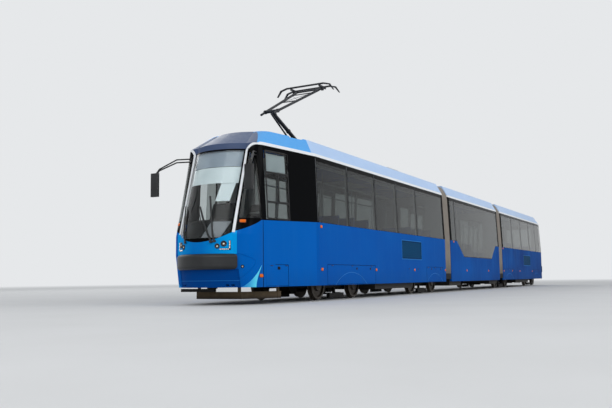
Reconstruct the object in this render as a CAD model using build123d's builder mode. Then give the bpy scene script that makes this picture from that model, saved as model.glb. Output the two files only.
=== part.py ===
from build123d import *
import math
import os

# A three-section, single-ended city tram on four two-axle bogies, with its pantograph raised.
# +X points to the cab, +Y to the side without doors, +Z up; the origin lies midway along the
# tram, on its centreline, at the level of the wheel flanges' lowest point.
# All sizes are millimetres. "Back" is a distance measured rearwards from the bumper's face,
# and "half" is a distance from the centreline.

# Body shell
total_length = 28400
half_length = total_length / 2
side_half = 1200
cant_half = 1140
wall = 60
glass = 8
fit_gap = 0.4
skirt_low = 340
belt = 1700
glass_top = 3130
cant_rail = 3180
deck_thick = 60
pillar = 70

# Floors
floor_top = 940
floor_thick = 80
floor_half = side_half - wall
low_floor_top = 400
entry_step = 180

# Roof fairing
fairing_top = 3520
fairing_half = 950
fairing_skin = 30

# The sections' ends, as distances back from the bumper
cab_root = 2780
cab_seam = 900
front_end = 11600
middle_start = 12200
middle_end = 18800
rear_start = 19400
tail_root = total_length - 900
gangway_half = 560
gangway_top = 2900
gangway_radius = 600
gangway_gap = 6
gangway_thick = 30

# Running gear
tread_radius = 327
flange_height = 25
axle_height = tread_radius + flange_height
wheelbase = 1900
wheel_inner = 690
wheel_width = 105
flange_width = 28
axle_radius = 72
rail_half = 753
bogie_backs = {"1": 4420, "2": 10420, "3": 20540, "4": 26540}
pivot_top = floor_top - floor_thick

# Pantograph: backs and heights of its pivots
base_pivot = (4340, 3640)
knee = (2820, 4290)
head_pivot = (4600, 5170)
rod_pivot = (3735, 3570)
rod_eye = (2640, 4190)
arm_radius = 45
knee_radius = 36
upper_radius = 26

os.makedirs("parts", exist_ok=True)


def station(back):
    """X of a place given as its distance back from the bumper's face."""
    return half_length - back


def finish(piece, label):
    """Labels a finished piece and writes it as one STEP."""
    piece.part.label = label
    export_step(piece.part, f"parts/{label}.step")


# The body's form
# Each row of an end's table is one level: height, how far back the middle of the front lies,
# then back and half width of the windscreen's edge, of the corner's end, and of the root.
cab_levels = [
    (skirt_low, 230, 490, 670, cab_seam, 950, cab_root, side_half),
    (980, 60, 340, 640, cab_seam, 950, cab_root, side_half),
    (1350, 80, 330, 622, cab_seam, 950, cab_root, side_half),
    (belt, 190, 430, 617, 920, 950, cab_root, side_half),
    (cant_rail, 640, 860, 598, 1000, 880, cab_root, cant_half),
]
tail_levels = [
    (skirt_low, 60, 130, 900, 300, 1160, total_length - tail_root, side_half),
    (belt, 0, 70, 900, 240, 1160, total_length - tail_root, side_half),
    (cant_rail, 70, 140, 850, 310, 1100, total_length - tail_root, cant_half),
]
cab_fairing_levels = [
    cab_levels[-1],
    (fairing_top, 1250, 1390, 440, 1560, 720, cab_root, fairing_half),
]
tail_fairing_levels = [
    tail_levels[-1],
    (fairing_top, 220, 290, 700, 430, 900, total_length - tail_root, fairing_half),
]
corner_bulge = 0.19


def level_face(row, facing, inset, shift=0):
    """One level of an end as a sketch; facing is +1 at the cab and -1 at the tail."""
    height, tip, edge, edge_half, corner, corner_half, root, root_half = row

    def spot(back, half):
        return (facing * (half_length - back), half)

    tip, edge, corner = tip + inset, edge + 0.8 * inset, corner + 0.2 * inset
    edge_half, corner_half, root_half = edge_half - 0.5 * inset, corner_half - inset, root_half - inset
    run, rise = corner - edge, corner_half - edge_half
    bulge_back = (edge + corner) / 2 - corner_bulge * rise
    bulge_half = (edge_half + corner_half) / 2 + corner_bulge * run
    with BuildSketch(Plane.XY.offset(height + shift)) as level:
        with BuildLine():
            ThreePointArc(spot(edge, -edge_half), spot(tip, 0), spot(edge, edge_half))
            ThreePointArc(spot(edge, edge_half), spot(bulge_back, bulge_half), spot(corner, corner_half))
            Polyline(spot(corner, corner_half), spot(root, root_half), spot(root, -root_half),
                     spot(corner, -corner_half))
            ThreePointArc(spot(corner, -corner_half), spot(bulge_back, -bulge_half), spot(edge, -edge_half))
        make_face()
    return level.sketch


def end_form(levels, facing, inset=0, low_shift=0, top_shift=0, mode=Mode.ADD):
    """An end of the tram, lofted between its levels, with an optional inset for a wall's inside."""
    shifts = [low_shift] + [0] * (len(levels) - 2) + [top_shift]
    faces = [level_face(row, facing, inset, shift) for row, shift in zip(levels, shifts)]
    loft(faces, ruled=True, mode=mode)


def straight_form(back_from, back_to, inset=0, low=skirt_low, top=cant_rail, mode=Mode.ADD):
    """A length of the body's straight cross-section, walls upright to the belt and leaning above."""
    lean = (side_half - cant_half) * (top - belt) / (cant_rail - belt)
    with BuildSketch(Plane.YZ.offset(station(back_to))) as section:
        with BuildLine():
            Polyline((side_half - inset, low), (side_half - inset, belt), (side_half - lean - inset, top),
                     (inset + lean - side_half, top), (inset - side_half, belt), (inset - side_half, low),
                     close=True)
        make_face()
    extrude(section.sketch, amount=back_to - back_from, mode=mode)


def side_windows(rows, side, grow=0, mode=Mode.SUBTRACT):
    """Cuts or keeps side panes; rows are back of the front edge, back of the rear edge, low, top."""
    with BuildSketch(Plane.XZ) as panes:
        for start, end, low, top in rows:
            with Locations((station((start + end) / 2), (low + top) / 2)):
                Rectangle(end - start + 2 * grow, top - low + 2 * grow)
    extrude(panes.sketch, amount=-side * (side_half + 100), mode=mode)


# Side openings: back of the front edge, back of the rear edge, low, top
front_left_panes = [(2780, 4300, belt, glass_top), (4370, 5930, belt, glass_top),
                    (6000, 7430, belt, glass_top), (7500, 8980, belt, glass_top),
                    (9050, 11440, belt, glass_top)]
front_right_panes = [(3300, 4900, belt, glass_top), (4970, 6570, belt, glass_top),
                     (8270, 9760, belt, glass_top), (9830, 11440, belt, glass_top)]
tail_pane_end = total_length - 370
rear_left_panes = [(19560, 21330, belt, glass_top), (21400, 23170, belt, glass_top),
                   (23240, 25010, belt, glass_top), (25080, 26500, belt, glass_top),
                   (26570, tail_root - pillar / 2, belt, glass_top),
                   (tail_root + pillar / 2, tail_pane_end, belt, glass_top)]
rear_right_panes = [(19560, 21000, belt, glass_top), (21070, 22690, belt, glass_top),
                    (24390, 25410, belt, glass_top), (25480, 26500, belt, glass_top),
                    (26570, tail_root - pillar / 2, belt, glass_top),
                    (tail_root + pillar / 2, tail_pane_end, belt, glass_top)]
middle_end_panes = [(12360, 12810, belt, glass_top), (18190, 18640, belt, glass_top)]
driver_window = (1010, 1760, belt - 40, glass_top - 60)

# Doorways on the right side: back of the front edge, width, number of leaves
door_low = 400
door_top = 2990
door_thick = 45
front_doorways = [(1330, 900, 1), (6640, 1560, 2)]
middle_doorways = [(14720, 1560, 2)]
rear_doorways = [(22760, 1560, 2)]


def doorway_rows(doorways, low=door_low):
    """Openings for a list of doorways, in the side windows' columns."""
    return [(start, start + width, low, door_top) for start, width, leaves in doorways]


# Lids in the side skirt: name, back of the front edge, back of the rear edge, top
lid_thick = 25
lid_gap = 6
lid_low = skirt_low + 20
lid_rows = [("lid_cab", 990, 1690, 770), ("lid_bogie_1", 3160, 5830, 790),
            ("lid_bogie_2", 9740, 11310, 790), ("lid_bogie_3", 19720, 21400, 790),
            ("lid_bogie_4", 25640, tail_root - 60, 790)]
# Arches pressed into the lids over the bogies: lid, back of the middle, half width, height
arch_rows = {"lid_bogie_1": (4420, 830, 620), "lid_bogie_2": (10520, 720, 600),
             "lid_bogie_3": (20560, 760, 600), "lid_bogie_4": (26540, 830, 620)}


def cut_lids(back_from, back_to, side):
    """Cuts the openings of the lids that lie on one section."""
    rows = [(start - lid_gap, end + lid_gap, lid_low - lid_gap, top + fit_gap)
            for name, start, end, top in lid_rows if back_from <= start < back_to]
    side_windows(rows, side)


def roof_box(back_from, back_to, half, low, top, mode=Mode.ADD):
    """A plain block across the roof or the floor, centred on the tram."""
    with BuildSketch(Plane.XY.offset(low)) as plan:
        with Locations(((station(back_from) + station(back_to)) / 2, 0)):
            Rectangle(back_to - back_from, 2 * half)
    extrude(plan.sketch, amount=top - low, mode=mode)


def side_block(back_from, back_to, half_from, half_to, low, top, mode=Mode.ADD):
    """A block given by its backs, its distances to the left of the centreline and its heights."""
    with BuildSketch(Plane.XY.offset(low)) as plan:
        with Locations(((station(back_from) + station(back_to)) / 2, (half_from + half_to) / 2)):
            Rectangle(back_to - back_from, half_to - half_from)
    extrude(plan.sketch, amount=top - low, mode=mode)


def open_end(back_from, back_to):
    """Opens an end wall for the gangway, and below the floor for the running gear."""
    roof_box(back_from - 10, back_to + 10, gangway_half, floor_top - gangway_thick - gangway_gap,
             gangway_top, mode=Mode.SUBTRACT)
    roof_box(back_from - 10, back_to + 10, floor_half, skirt_low - 10, floor_top - floor_thick,
             mode=Mode.SUBTRACT)


def part_shell(*backs):
    """Parts a shell into its welded panels: the roof, the walls, the skirts, each between the given backs."""
    for level in (cant_rail - deck_thick, floor_top - floor_thick):
        split(bisect_by=Plane.XY.offset(level), keep=Keep.BOTH)
    for back in backs:
        split(bisect_by=Plane.YZ.offset(station(back)), keep=Keep.BOTH)


# Front section
with BuildPart() as front_shell:
    straight_form(cab_root, front_end)
    end_form(cab_levels, 1)
    straight_form(cab_root, front_end - wall, wall, skirt_low - 10, cant_rail - deck_thick, mode=Mode.SUBTRACT)
    end_form(cab_levels, 1, wall, -10, -deck_thick, mode=Mode.SUBTRACT)
    side_windows(front_left_panes, 1)
    side_windows(front_right_panes, -1)
    side_windows([driver_window], 1)
    side_windows(doorway_rows(front_doorways), -1)
    cut_lids(0, front_end, 1)
    open_end(front_end - wall, front_end)

# Windscreen and quarter panes, seen from ahead
screen_half = 610
screen_low = 1200
screen_edge_low = 1380
screen_top = 3060
quarter_front_half = 665
quarter_low_front = 1450
quarter_low_rear = 1640
quarter_rear_half = 960
seam_frame = 30

# Front apron, lamps and bumper
apron_half = 660
apron_top = 675
apron_thick = 40
bumper_low = 680
bumper_top = 980
bumper_end = (360, 713)
lamp_rows = [(500, 1165, 46), (395, 1120, 38)]
lamp_depth = 45
lamp_proud = 6
strip_rows = [(590, 1150, 26, 150), (520, 1062, 170, 26)]


def screen_sketch(grow=0):
    """The windscreen seen from ahead: straight sides and a bottom edge that sags in an arc."""
    half = screen_half + grow
    with BuildSketch(Plane.YZ.offset(station(1000))) as screen:
        with BuildLine():
            Polyline((half, screen_edge_low - grow), (half, screen_top + grow),
                     (-half, screen_top + grow), (-half, screen_edge_low - grow))
            ThreePointArc((-half, screen_edge_low - grow), (0, screen_low - grow),
                          (half, screen_edge_low - grow))
        make_face()
    return screen.sketch


def quarter_sketch(grow=0):
    """Both quarter panes beside the windscreen, seen from ahead, as far back as the cab's seam."""
    with BuildSketch(Plane.YZ.offset(station(cab_seam - seam_frame + grow))) as quarter:
        for side in (1, -1):
            with BuildLine():
                Polyline((side * (quarter_front_half - grow), quarter_low_front - grow),
                         (side * (quarter_rear_half + grow), quarter_low_rear - grow),
                         (side * (quarter_rear_half + grow), screen_top + grow),
                         (side * (quarter_front_half - grow), screen_top + grow), close=True)
            make_face()
    return quarter.sketch


def lamp_sketch(grow=0):
    """The round lamps and the two bars of each angled light strip, seen from ahead."""
    with BuildSketch(Plane.YZ.offset(station(cab_seam))) as lamps:
        for side in (1, -1):
            for half, height, radius in lamp_rows:
                with Locations((side * half, height)):
                    Circle(radius + grow)
            for half, height, width, tall in strip_rows:
                with Locations((side * half, height)):
                    Rectangle(width + 2 * grow, tall + 2 * grow)
    return lamps.sketch


def apron_sketch(grow=0):
    """The apron's outline, seen from ahead."""
    with BuildSketch(Plane.YZ.offset(station(cab_seam))) as apron:
        with Locations((0, (skirt_low + apron_top) / 2)):
            Rectangle(2 * (apron_half + grow), apron_top - skirt_low + 2 * grow)
    return apron.sketch


def front_skin(depth, proud=0):
    """The outermost layer of the front section's form, depth thick and standing proud if asked."""
    with BuildPart(mode=Mode.PRIVATE) as skin:
        straight_form(cab_root, front_end, -proud)
        end_form(cab_levels, 1, -proud)
        straight_form(cab_root, front_end, depth, skirt_low - 10, cant_rail + 10, mode=Mode.SUBTRACT)
        end_form(cab_levels, 1, depth, -10, 10, mode=Mode.SUBTRACT)
    return skin.part


glass_skin = front_skin(glass)

# Panel seams: the five-sided cheek panel, seen from the side as back and height
seam_width = 6
cheek_corners = [(360, 990), (655, 850), (645, 770), (456, 503), (386, 663)]
with BuildPart() as cheek_seams:
    with BuildSketch(Plane.XZ) as cheek:
        with BuildLine():
            Polyline(*[(station(back), height) for back, height in cheek_corners], close=True)
        make_face()
        offset(amount=-seam_width, mode=Mode.SUBTRACT)
    extrude(cheek.sketch, amount=side_half, both=True)
    add(glass_skin, mode=Mode.INTERSECT)

with BuildPart() as cab_nose:
    add(front_shell.part)
    split(bisect_by=Plane.YZ.offset(station(cab_seam)), keep=Keep.TOP)
    extrude(screen_sketch(), amount=1100, mode=Mode.SUBTRACT)
    extrude(quarter_sketch(), amount=1100, mode=Mode.SUBTRACT)
    extrude(lamp_sketch(), amount=1100, mode=Mode.SUBTRACT)
    extrude(apron_sketch(), amount=1100, mode=Mode.SUBTRACT)
    add(cheek_seams.part, mode=Mode.SUBTRACT)
finish(cab_nose, "cab_nose")

# Seams and louvres of the sides: the seam behind the nose, the louvred hatches of the left side,
# and the outlines of the right side's fixed skirt panels
groove_depth = 5
louvre_slot = 26
louvre_pitch = 48
louvre_depth = 14
louvre_rim = 36
front_louvres = (7740, 9300, 1020, 1500)
rear_louvres = (23550, 25050, 1000, 1430)
with BuildPart() as cab_seam_groove:
    side_block(cab_seam, cab_seam + seam_width, -side_half, side_half, skirt_low, cant_rail)
    add(glass_skin, mode=Mode.INTERSECT)


def louvres(start, end, low, top):
    """Cuts a hatch's louvre slots into the left side's outer face, at an even pitch."""
    with BuildSketch(Plane.XZ.offset(-side_half)) as slots:
        with Locations((station((start + end) / 2), (low + top) / 2)):
            Rectangle(end - start + 2 * louvre_rim, top - low + 2 * louvre_rim)
            Rectangle(end - start + 2 * (louvre_rim - seam_width), top - low + 2 * (louvre_rim - seam_width),
                      mode=Mode.SUBTRACT)
            with GridLocations(0, louvre_pitch, 1, int((top - low) / louvre_pitch)):
                Rectangle(end - start, louvre_slot)
    extrude(slots.sketch, amount=louvre_depth, mode=Mode.SUBTRACT)


def skirt_seams(back_from, back_to):
    """Grooves round the right side's fixed skirt panels, which mirror the left side's lids."""
    with BuildSketch(Plane.XZ.offset(side_half)) as seams:
        for name, start, end, top in lid_rows:
            if back_from <= start < back_to:
                with Locations((station((start + end) / 2), (lid_low + top) / 2)):
                    Rectangle(end - start, top - lid_low)
                    Rectangle(end - start - 2 * seam_width, top - lid_low - 2 * seam_width, mode=Mode.SUBTRACT)
    extrude(seams.sketch, amount=-groove_depth, mode=Mode.SUBTRACT)


with BuildPart() as front_body:
    add(front_shell.part)
    split(bisect_by=Plane.YZ.offset(station(cab_seam)), keep=Keep.BOTTOM)
    add(cab_seam_groove.part, mode=Mode.SUBTRACT)
    louvres(*front_louvres)
    skirt_seams(cab_root, front_end)
    part_shell(cab_root, front_end - wall)
finish(front_body, "front_body")


with BuildPart() as windscreen:
    add(glass_skin)
    extrude(screen_sketch(-fit_gap), amount=1100, mode=Mode.INTERSECT)
finish(windscreen, "windscreen")

with BuildPart() as quarter_panes:
    add(glass_skin)
    extrude(quarter_sketch(-fit_gap), amount=1100, mode=Mode.INTERSECT)
finish(quarter_panes, "quarter_panes")

with BuildPart() as headlamps:
    add(front_skin(lamp_depth, lamp_proud))
    extrude(lamp_sketch(-fit_gap), amount=1100, mode=Mode.INTERSECT)
finish(headlamps, "headlamps")

apron_crease = 460
apron_pockets = [(495, 385), (580, 385)]
pocket_size = (52, 30)
with BuildPart() as crease:
    roof_box(0, cab_seam, apron_half, apron_crease, apron_crease + seam_width)
    add(glass_skin, mode=Mode.INTERSECT)

with BuildPart() as apron:
    add(front_skin(apron_thick))
    extrude(apron_sketch(-fit_gap), amount=1100, mode=Mode.INTERSECT)
    add(crease.part, mode=Mode.SUBTRACT)
    with BuildSketch(Plane.YZ.offset(station(cab_seam))) as pockets:
        for side in (1, -1):
            with Locations(*[(side * half, height) for half, height in apron_pockets]):
                Rectangle(*pocket_size)
    extrude(pockets.sketch, amount=1100, mode=Mode.SUBTRACT)
finish(apron, "apron")

with BuildPart() as bumper:
    end_back, end_half = bumper_end
    with BuildSketch(Plane.XY.offset(bumper_low)):
        with BuildLine():
            ThreePointArc((station(end_back), -end_half), (station(0), 0), (station(end_back), end_half))
            Line((station(end_back), end_half), (station(end_back), -end_half))
        make_face()
    extrude(amount=bumper_top - bumper_low)
    front_edges = bumper.edges().filter_by(GeomType.CIRCLE).sort_by(Axis.Z)
    fillet(front_edges, radius=70)
    end_form(cab_levels, 1, -fit_gap, mode=Mode.SUBTRACT)
finish(bumper, "bumper")


# Doors and glass of a section's sides
leaf_frame = 75
leaf_window_low = 620
leaf_window_top = 2900


def leaf_rows(doorways):
    """Each leaf's opening: a doorway is shared by its leaves."""
    rows = []
    for start, width, leaves in doorways:
        share = width / leaves
        for index in range(leaves):
            rows.append((start + index * share, start + (index + 1) * share, door_low, door_top))
    return rows


def leaf_windows(doorways):
    """Each leaf's window, inside the leaf's frame."""
    return [(start + leaf_frame, end - leaf_frame, leaf_window_low, leaf_window_top)
            for start, end, low, top in leaf_rows(doorways)]


def door_set(skin, doorways, label):
    """The leaves of one section's doors, as thick as the skin they are cut from."""
    with BuildPart() as doors:
        add(skin)
        side_windows(leaf_rows(doorways), -1, -fit_gap, mode=Mode.INTERSECT)
        side_windows(leaf_windows(doorways), -1)
    finish(doors, label)


def glass_set(skin, left_panes, right_panes, doorways, label, extra=None):
    """The side panes of one section and the panes of its doors, cut from a thin skin."""
    with BuildPart() as left:
        add(skin)
        side_windows(left_panes, 1, -fit_gap, mode=Mode.INTERSECT)
    with BuildPart() as right:
        add(skin)
        side_windows(right_panes + leaf_windows(doorways), -1, -fit_gap, mode=Mode.INTERSECT)
    with BuildPart() as panes:
        add(left.part)
        add(right.part)
        if extra:
            add(extra)
    finish(panes, label)


door_set(front_skin(door_thick), front_doorways, "front_doors")
glass_set(glass_skin, front_left_panes + [driver_window], front_right_panes, front_doorways, "front_glass")


# Roof fairings
def fairing_straight(back_from, back_to, inset=0, mode=Mode.ADD):
    """A length of the roof fairing's section, leaning in from the cant rail."""
    with BuildSketch(Plane.YZ.offset(station(back_to))) as section:
        with BuildLine():
            Polyline((cant_half - inset, cant_rail), (fairing_half - inset, fairing_top),
                     (inset - fairing_half, fairing_top), (inset - cant_half, cant_rail), close=True)
        make_face()
    extrude(section.sketch, amount=back_to - back_from, mode=mode)


cab_cap_end = 2150
tail_cap_end = 27000
with BuildPart() as front_fairing:
    fairing_straight(cab_root, front_end)
    end_form(cab_fairing_levels, 1)
    fairing_straight(cab_root, front_end - fairing_skin, fairing_skin, mode=Mode.SUBTRACT)
    end_form(cab_fairing_levels, 1, fairing_skin, 0, -fairing_skin, mode=Mode.SUBTRACT)
    roof_box(cab_cap_end, front_end - fairing_skin, fairing_half - fairing_skin, fairing_top - fairing_skin,
             fairing_top, mode=Mode.SUBTRACT)
finish(front_fairing, "front_fairing")

with BuildPart() as middle_fairing:
    fairing_straight(middle_start, middle_end)
    fairing_straight(middle_start + fairing_skin, middle_end - fairing_skin, fairing_skin, mode=Mode.SUBTRACT)
finish(middle_fairing, "middle_fairing")

with BuildPart() as rear_fairing:
    fairing_straight(rear_start, tail_root)
    end_form(tail_fairing_levels, -1)
    fairing_straight(rear_start + fairing_skin, tail_root, fairing_skin, mode=Mode.SUBTRACT)
    end_form(tail_fairing_levels, -1, fairing_skin, 0, -fairing_skin, mode=Mode.SUBTRACT)
    roof_box(rear_start + fairing_skin, tail_cap_end, fairing_half - fairing_skin,
             fairing_top - fairing_skin, fairing_top, mode=Mode.SUBTRACT)
finish(rear_fairing, "rear_fairing")


# Middle section: its left side drops to a deep window over the low floor
drop_window = [(12880, belt + 30), (18260, belt + 30), (17530, 1170), (13750, 1170)]


def drop_sketch(grow=0):
    """The deep window of the middle section with its sloping lower corners."""
    (front, shelf), (rear, _), (rear_low, low), (front_low, _) = drop_window
    with BuildSketch(Plane.XZ) as drop:
        with BuildLine():
            Polyline((station(front) + grow, glass_top + grow), (station(rear) - grow, glass_top + grow),
                     (station(rear) - grow, shelf - grow), (station(rear_low) - grow, low - grow),
                     (station(front_low) + grow, low - grow), (station(front) + grow, shelf - grow), close=True)
        make_face()
    return drop.sketch


with BuildPart() as middle_body:
    straight_form(middle_start, middle_end)
    straight_form(middle_start + wall, middle_end - wall, wall, skirt_low - 10, cant_rail - deck_thick,
                  mode=Mode.SUBTRACT)
    side_windows(middle_end_panes, 1)
    side_windows(middle_end_panes, -1)
    extrude(drop_sketch(), amount=-side_half - 100, mode=Mode.SUBTRACT)
    side_windows([(12880, 14600, belt, glass_top), (16400, 18260, belt, glass_top)], -1)
    side_windows(doorway_rows(middle_doorways), -1)
    open_end(middle_start, middle_start + wall)
    open_end(middle_end - wall, middle_end)
    part_shell(middle_start + wall, middle_end - wall)
finish(middle_body, "middle_body")


def middle_skin(depth):
    """The outermost layer of the middle section's form."""
    with BuildPart(mode=Mode.PRIVATE) as skin:
        straight_form(middle_start, middle_end)
        straight_form(middle_start, middle_end, depth, skirt_low - 10, cant_rail + 10, mode=Mode.SUBTRACT)
    return skin.part


with BuildPart() as drop_pane:
    add(middle_skin(glass))
    extrude(drop_sketch(-fit_gap), amount=-side_half - 100, mode=Mode.INTERSECT)
glass_set(middle_skin(glass), middle_end_panes,
          middle_end_panes + [(12880, 14600, belt, glass_top), (16400, 18260, belt, glass_top)],
          middle_doorways, "middle_glass", drop_pane.part)
door_set(middle_skin(door_thick), middle_doorways, "middle_doors")

# Rear section with its rounded tail
tail_window_half = 640
tail_window_low = 1650
tail_window_top = 2950
tail_lamp_rows = [(560, 1180, 50), (560, 1040, 50)]


def tail_window_sketch(grow=0):
    """The tail's window, seen from behind."""
    with BuildSketch(Plane.YZ.offset(station(total_length - 500))) as window:
        with Locations((0, (tail_window_low + tail_window_top) / 2)):
            RectangleRounded(2 * (tail_window_half + grow), tail_window_top - tail_window_low + 2 * grow, 90)
    return window.sketch


def tail_lamp_sketch(grow=0):
    """The tail's round lamps, seen from behind."""
    with BuildSketch(Plane.YZ.offset(station(total_length - 500))) as lamps:
        for side in (1, -1):
            for half, height, radius in tail_lamp_rows:
                with Locations((side * half, height)):
                    Circle(radius + grow)
    return lamps.sketch


with BuildPart() as rear_body:
    straight_form(rear_start, tail_root)
    end_form(tail_levels, -1)
    straight_form(rear_start + wall, tail_root, wall, skirt_low - 10, cant_rail - deck_thick,
                  mode=Mode.SUBTRACT)
    end_form(tail_levels, -1, wall, -10, -deck_thick, mode=Mode.SUBTRACT)
    side_windows(rear_left_panes, 1)
    side_windows(rear_right_panes, -1)
    side_windows(doorway_rows(rear_doorways), -1)
    cut_lids(rear_start, total_length, 1)
    open_end(rear_start, rear_start + wall)
    extrude(tail_window_sketch(), amount=-600, mode=Mode.SUBTRACT)
    extrude(tail_lamp_sketch(), amount=-600, mode=Mode.SUBTRACT)
    louvres(*rear_louvres)
    skirt_seams(rear_start, total_length)
    part_shell(rear_start + wall, tail_root)
finish(rear_body, "rear_body")


def rear_skin(depth, proud=0):
    """The outermost layer of the rear section's form."""
    with BuildPart(mode=Mode.PRIVATE) as skin:
        straight_form(rear_start, tail_root, -proud)
        end_form(tail_levels, -1, -proud)
        straight_form(rear_start, tail_root, depth, skirt_low - 10, cant_rail + 10, mode=Mode.SUBTRACT)
        end_form(tail_levels, -1, depth, -10, 10, mode=Mode.SUBTRACT)
    return skin.part


with BuildPart() as tail_pane:
    add(rear_skin(glass))
    extrude(tail_window_sketch(-fit_gap), amount=-600, mode=Mode.INTERSECT)
glass_set(rear_skin(glass), rear_left_panes, rear_right_panes, rear_doorways, "rear_glass", tail_pane.part)
door_set(rear_skin(door_thick), rear_doorways, "rear_doors")

with BuildPart() as tail_lamps:
    add(rear_skin(lamp_depth, lamp_proud))
    extrude(tail_lamp_sketch(-fit_gap), amount=-600, mode=Mode.INTERSECT)
finish(tail_lamps, "tail_lamps")


rear_bumper_proud = 22
rear_bumper_reach = 320
with BuildPart() as rear_bumper:
    end_form(tail_levels, -1, -rear_bumper_proud)
    end_form(tail_levels, -1, -fit_gap, -10, 10, mode=Mode.SUBTRACT)
    roof_box(total_length - rear_bumper_reach, total_length, side_half, bumper_low, bumper_top,
             mode=Mode.INTERSECT)
finish(rear_bumper, "rear_bumper")

# Floors with their stepwells and the equipment boxes that hang under them
pivot_backs = [(front_end + middle_start) / 2, (middle_end + rear_start) / 2]
well_depth = 640
tread_thick = 40
box_low = 200
box_half = 1080
# Boxes: back of the front edge, back of the rear edge, half from, half to
front_boxes = [(6050, 8800, -420, box_half), (8280, 8900, -box_half, -440)]
middle_boxes = [(12300, 13600, -box_half, box_half), (17500, 18700, -box_half, box_half)]
rear_boxes = [(22200, 24900, -420, box_half), (24400, 24900, -box_half, -440)]


def inner_half_at(back):
    """Half width inside the wall below the belt, from the cab's seam rearwards."""
    taper = (side_half - 950) * max(cab_root - back, 0) / (cab_root - cab_seam)
    return floor_half - taper


def stepwell(start, width, half):
    """Opens the floor behind a doorway, whose inner face is half from the centreline, and sets the
    steps down into it."""
    inner = well_depth - floor_half
    side_block(start, start + width, -floor_half - 10, inner, floor_top - floor_thick - 10,
               floor_top + 10, mode=Mode.SUBTRACT)
    rise = (floor_top - door_low) / 3
    tread = (half + inner) / 2
    for index in range(2):
        top = door_low + (index + 1) * rise - 20
        outer = fit_gap - half + index * tread
        side_block(start, start + width, outer, outer + tread, top - tread_thick, top)
        side_block(start, start + width, outer + tread - tread_thick, outer + tread, top - tread_thick,
                   top + rise if index == 0 else floor_top)
    for end in (start, start + width - tread_thick):
        side_block(end, end + tread_thick, fit_gap - half, inner, door_low + rise - 60, floor_top)


def gangway_plate(pivot, towards):
    """The round plate that a section carries over an articulation's pivot."""
    with BuildSketch(Plane.XY.offset(floor_top - gangway_thick)) as plate:
        with Locations((station(pivot), 0)):
            Circle(gangway_radius)
            if towards:
                with Locations((towards * 350, 0)):
                    Rectangle(700, 2 * gangway_half - 20)
    return plate.sketch


with BuildPart() as front_floor:
    roof_box(cab_root, front_end - wall - fit_gap, floor_half - fit_gap, floor_top - floor_thick, floor_top)
    end_form(cab_levels, 1, wall + fit_gap)
    side_block(0, front_end, -side_half, side_half, floor_top, cant_rail + 10, mode=Mode.SUBTRACT)
    side_block(0, cab_root, -side_half, side_half, skirt_low - 10, floor_top - floor_thick,
               mode=Mode.SUBTRACT)
    for start, width, leaves in front_doorways:
        stepwell(start, width, inner_half_at(start))
    for start, end, half_from, half_to in front_boxes:
        side_block(start, end, half_from, half_to, box_low, floor_top - floor_thick)
    extrude(gangway_plate(pivot_backs[0], 1), amount=gangway_thick)
finish(front_floor, "front_floor")

# The low floor's run: platforms over the articulations, a step each way, the low floor between
step_start = 13300
low_start = 13750
low_end = 17530
step_end = 17980
riser = 60
with BuildPart() as middle_floor:
    mid_step = (floor_top + low_floor_top) / 2
    inner_half = floor_half - fit_gap
    start = middle_start + wall + fit_gap
    end = middle_end - wall - fit_gap
    with BuildSketch(Plane.XZ.offset(-inner_half)):
        with BuildLine():
            Polyline((station(start), floor_top), (station(step_start), floor_top),
                     (station(step_start), mid_step), (station(low_start), mid_step),
                     (station(low_start), low_floor_top), (station(low_end), low_floor_top),
                     (station(low_end), mid_step), (station(step_end), mid_step),
                     (station(step_end), floor_top), (station(end), floor_top),
                     (station(end), floor_top - floor_thick),
                     (station(step_end + riser), floor_top - floor_thick),
                     (station(step_end + riser), mid_step - floor_thick),
                     (station(low_end + riser), mid_step - floor_thick),
                     (station(low_end + riser), low_floor_top - floor_thick),
                     (station(low_start - riser), low_floor_top - floor_thick),
                     (station(low_start - riser), mid_step - floor_thick),
                     (station(step_start - riser), mid_step - floor_thick),
                     (station(step_start - riser), floor_top - floor_thick),
                     (station(start), floor_top - floor_thick), close=True)
        make_face()
    extrude(amount=2 * inner_half)
    for start, end, half_from, half_to in middle_boxes:
        side_block(start, end, half_from, half_to, box_low, floor_top - floor_thick)
    for pivot in pivot_backs:
        with BuildSketch(Plane.XY.offset(floor_top - gangway_thick - gangway_gap)):
            with Locations((station(pivot), 0)):
                Circle(gangway_radius + gangway_gap)
        extrude(amount=gangway_thick + gangway_gap + 10, mode=Mode.SUBTRACT)
finish(middle_floor, "middle_floor")

with BuildPart() as rear_floor:
    roof_box(rear_start + wall + fit_gap, tail_root, floor_half - fit_gap, floor_top - floor_thick, floor_top)
    end_form(tail_levels, -1, wall + fit_gap)
    side_block(tail_root, total_length, -side_half, side_half, floor_top, cant_rail + 10,
               mode=Mode.SUBTRACT)
    side_block(tail_root, total_length, -side_half, side_half, skirt_low - 10, floor_top - floor_thick,
               mode=Mode.SUBTRACT)
    for start, width, leaves in rear_doorways:
        stepwell(start, width, floor_half)
    for start, end, half_from, half_to in rear_boxes:
        side_block(start, end, half_from, half_to, box_low, floor_top - floor_thick)
    extrude(gangway_plate(pivot_backs[1], -1), amount=gangway_thick)
finish(rear_floor, "rear_floor")

# Seats: one profile, set out by rows of back, half of the seat's middle, facing and floor
seat_width = 430
seat_depth = 420
seat_height = 440
seat_back_height = 1000
seat_thick = 55
pedestal_half = 90


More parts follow.
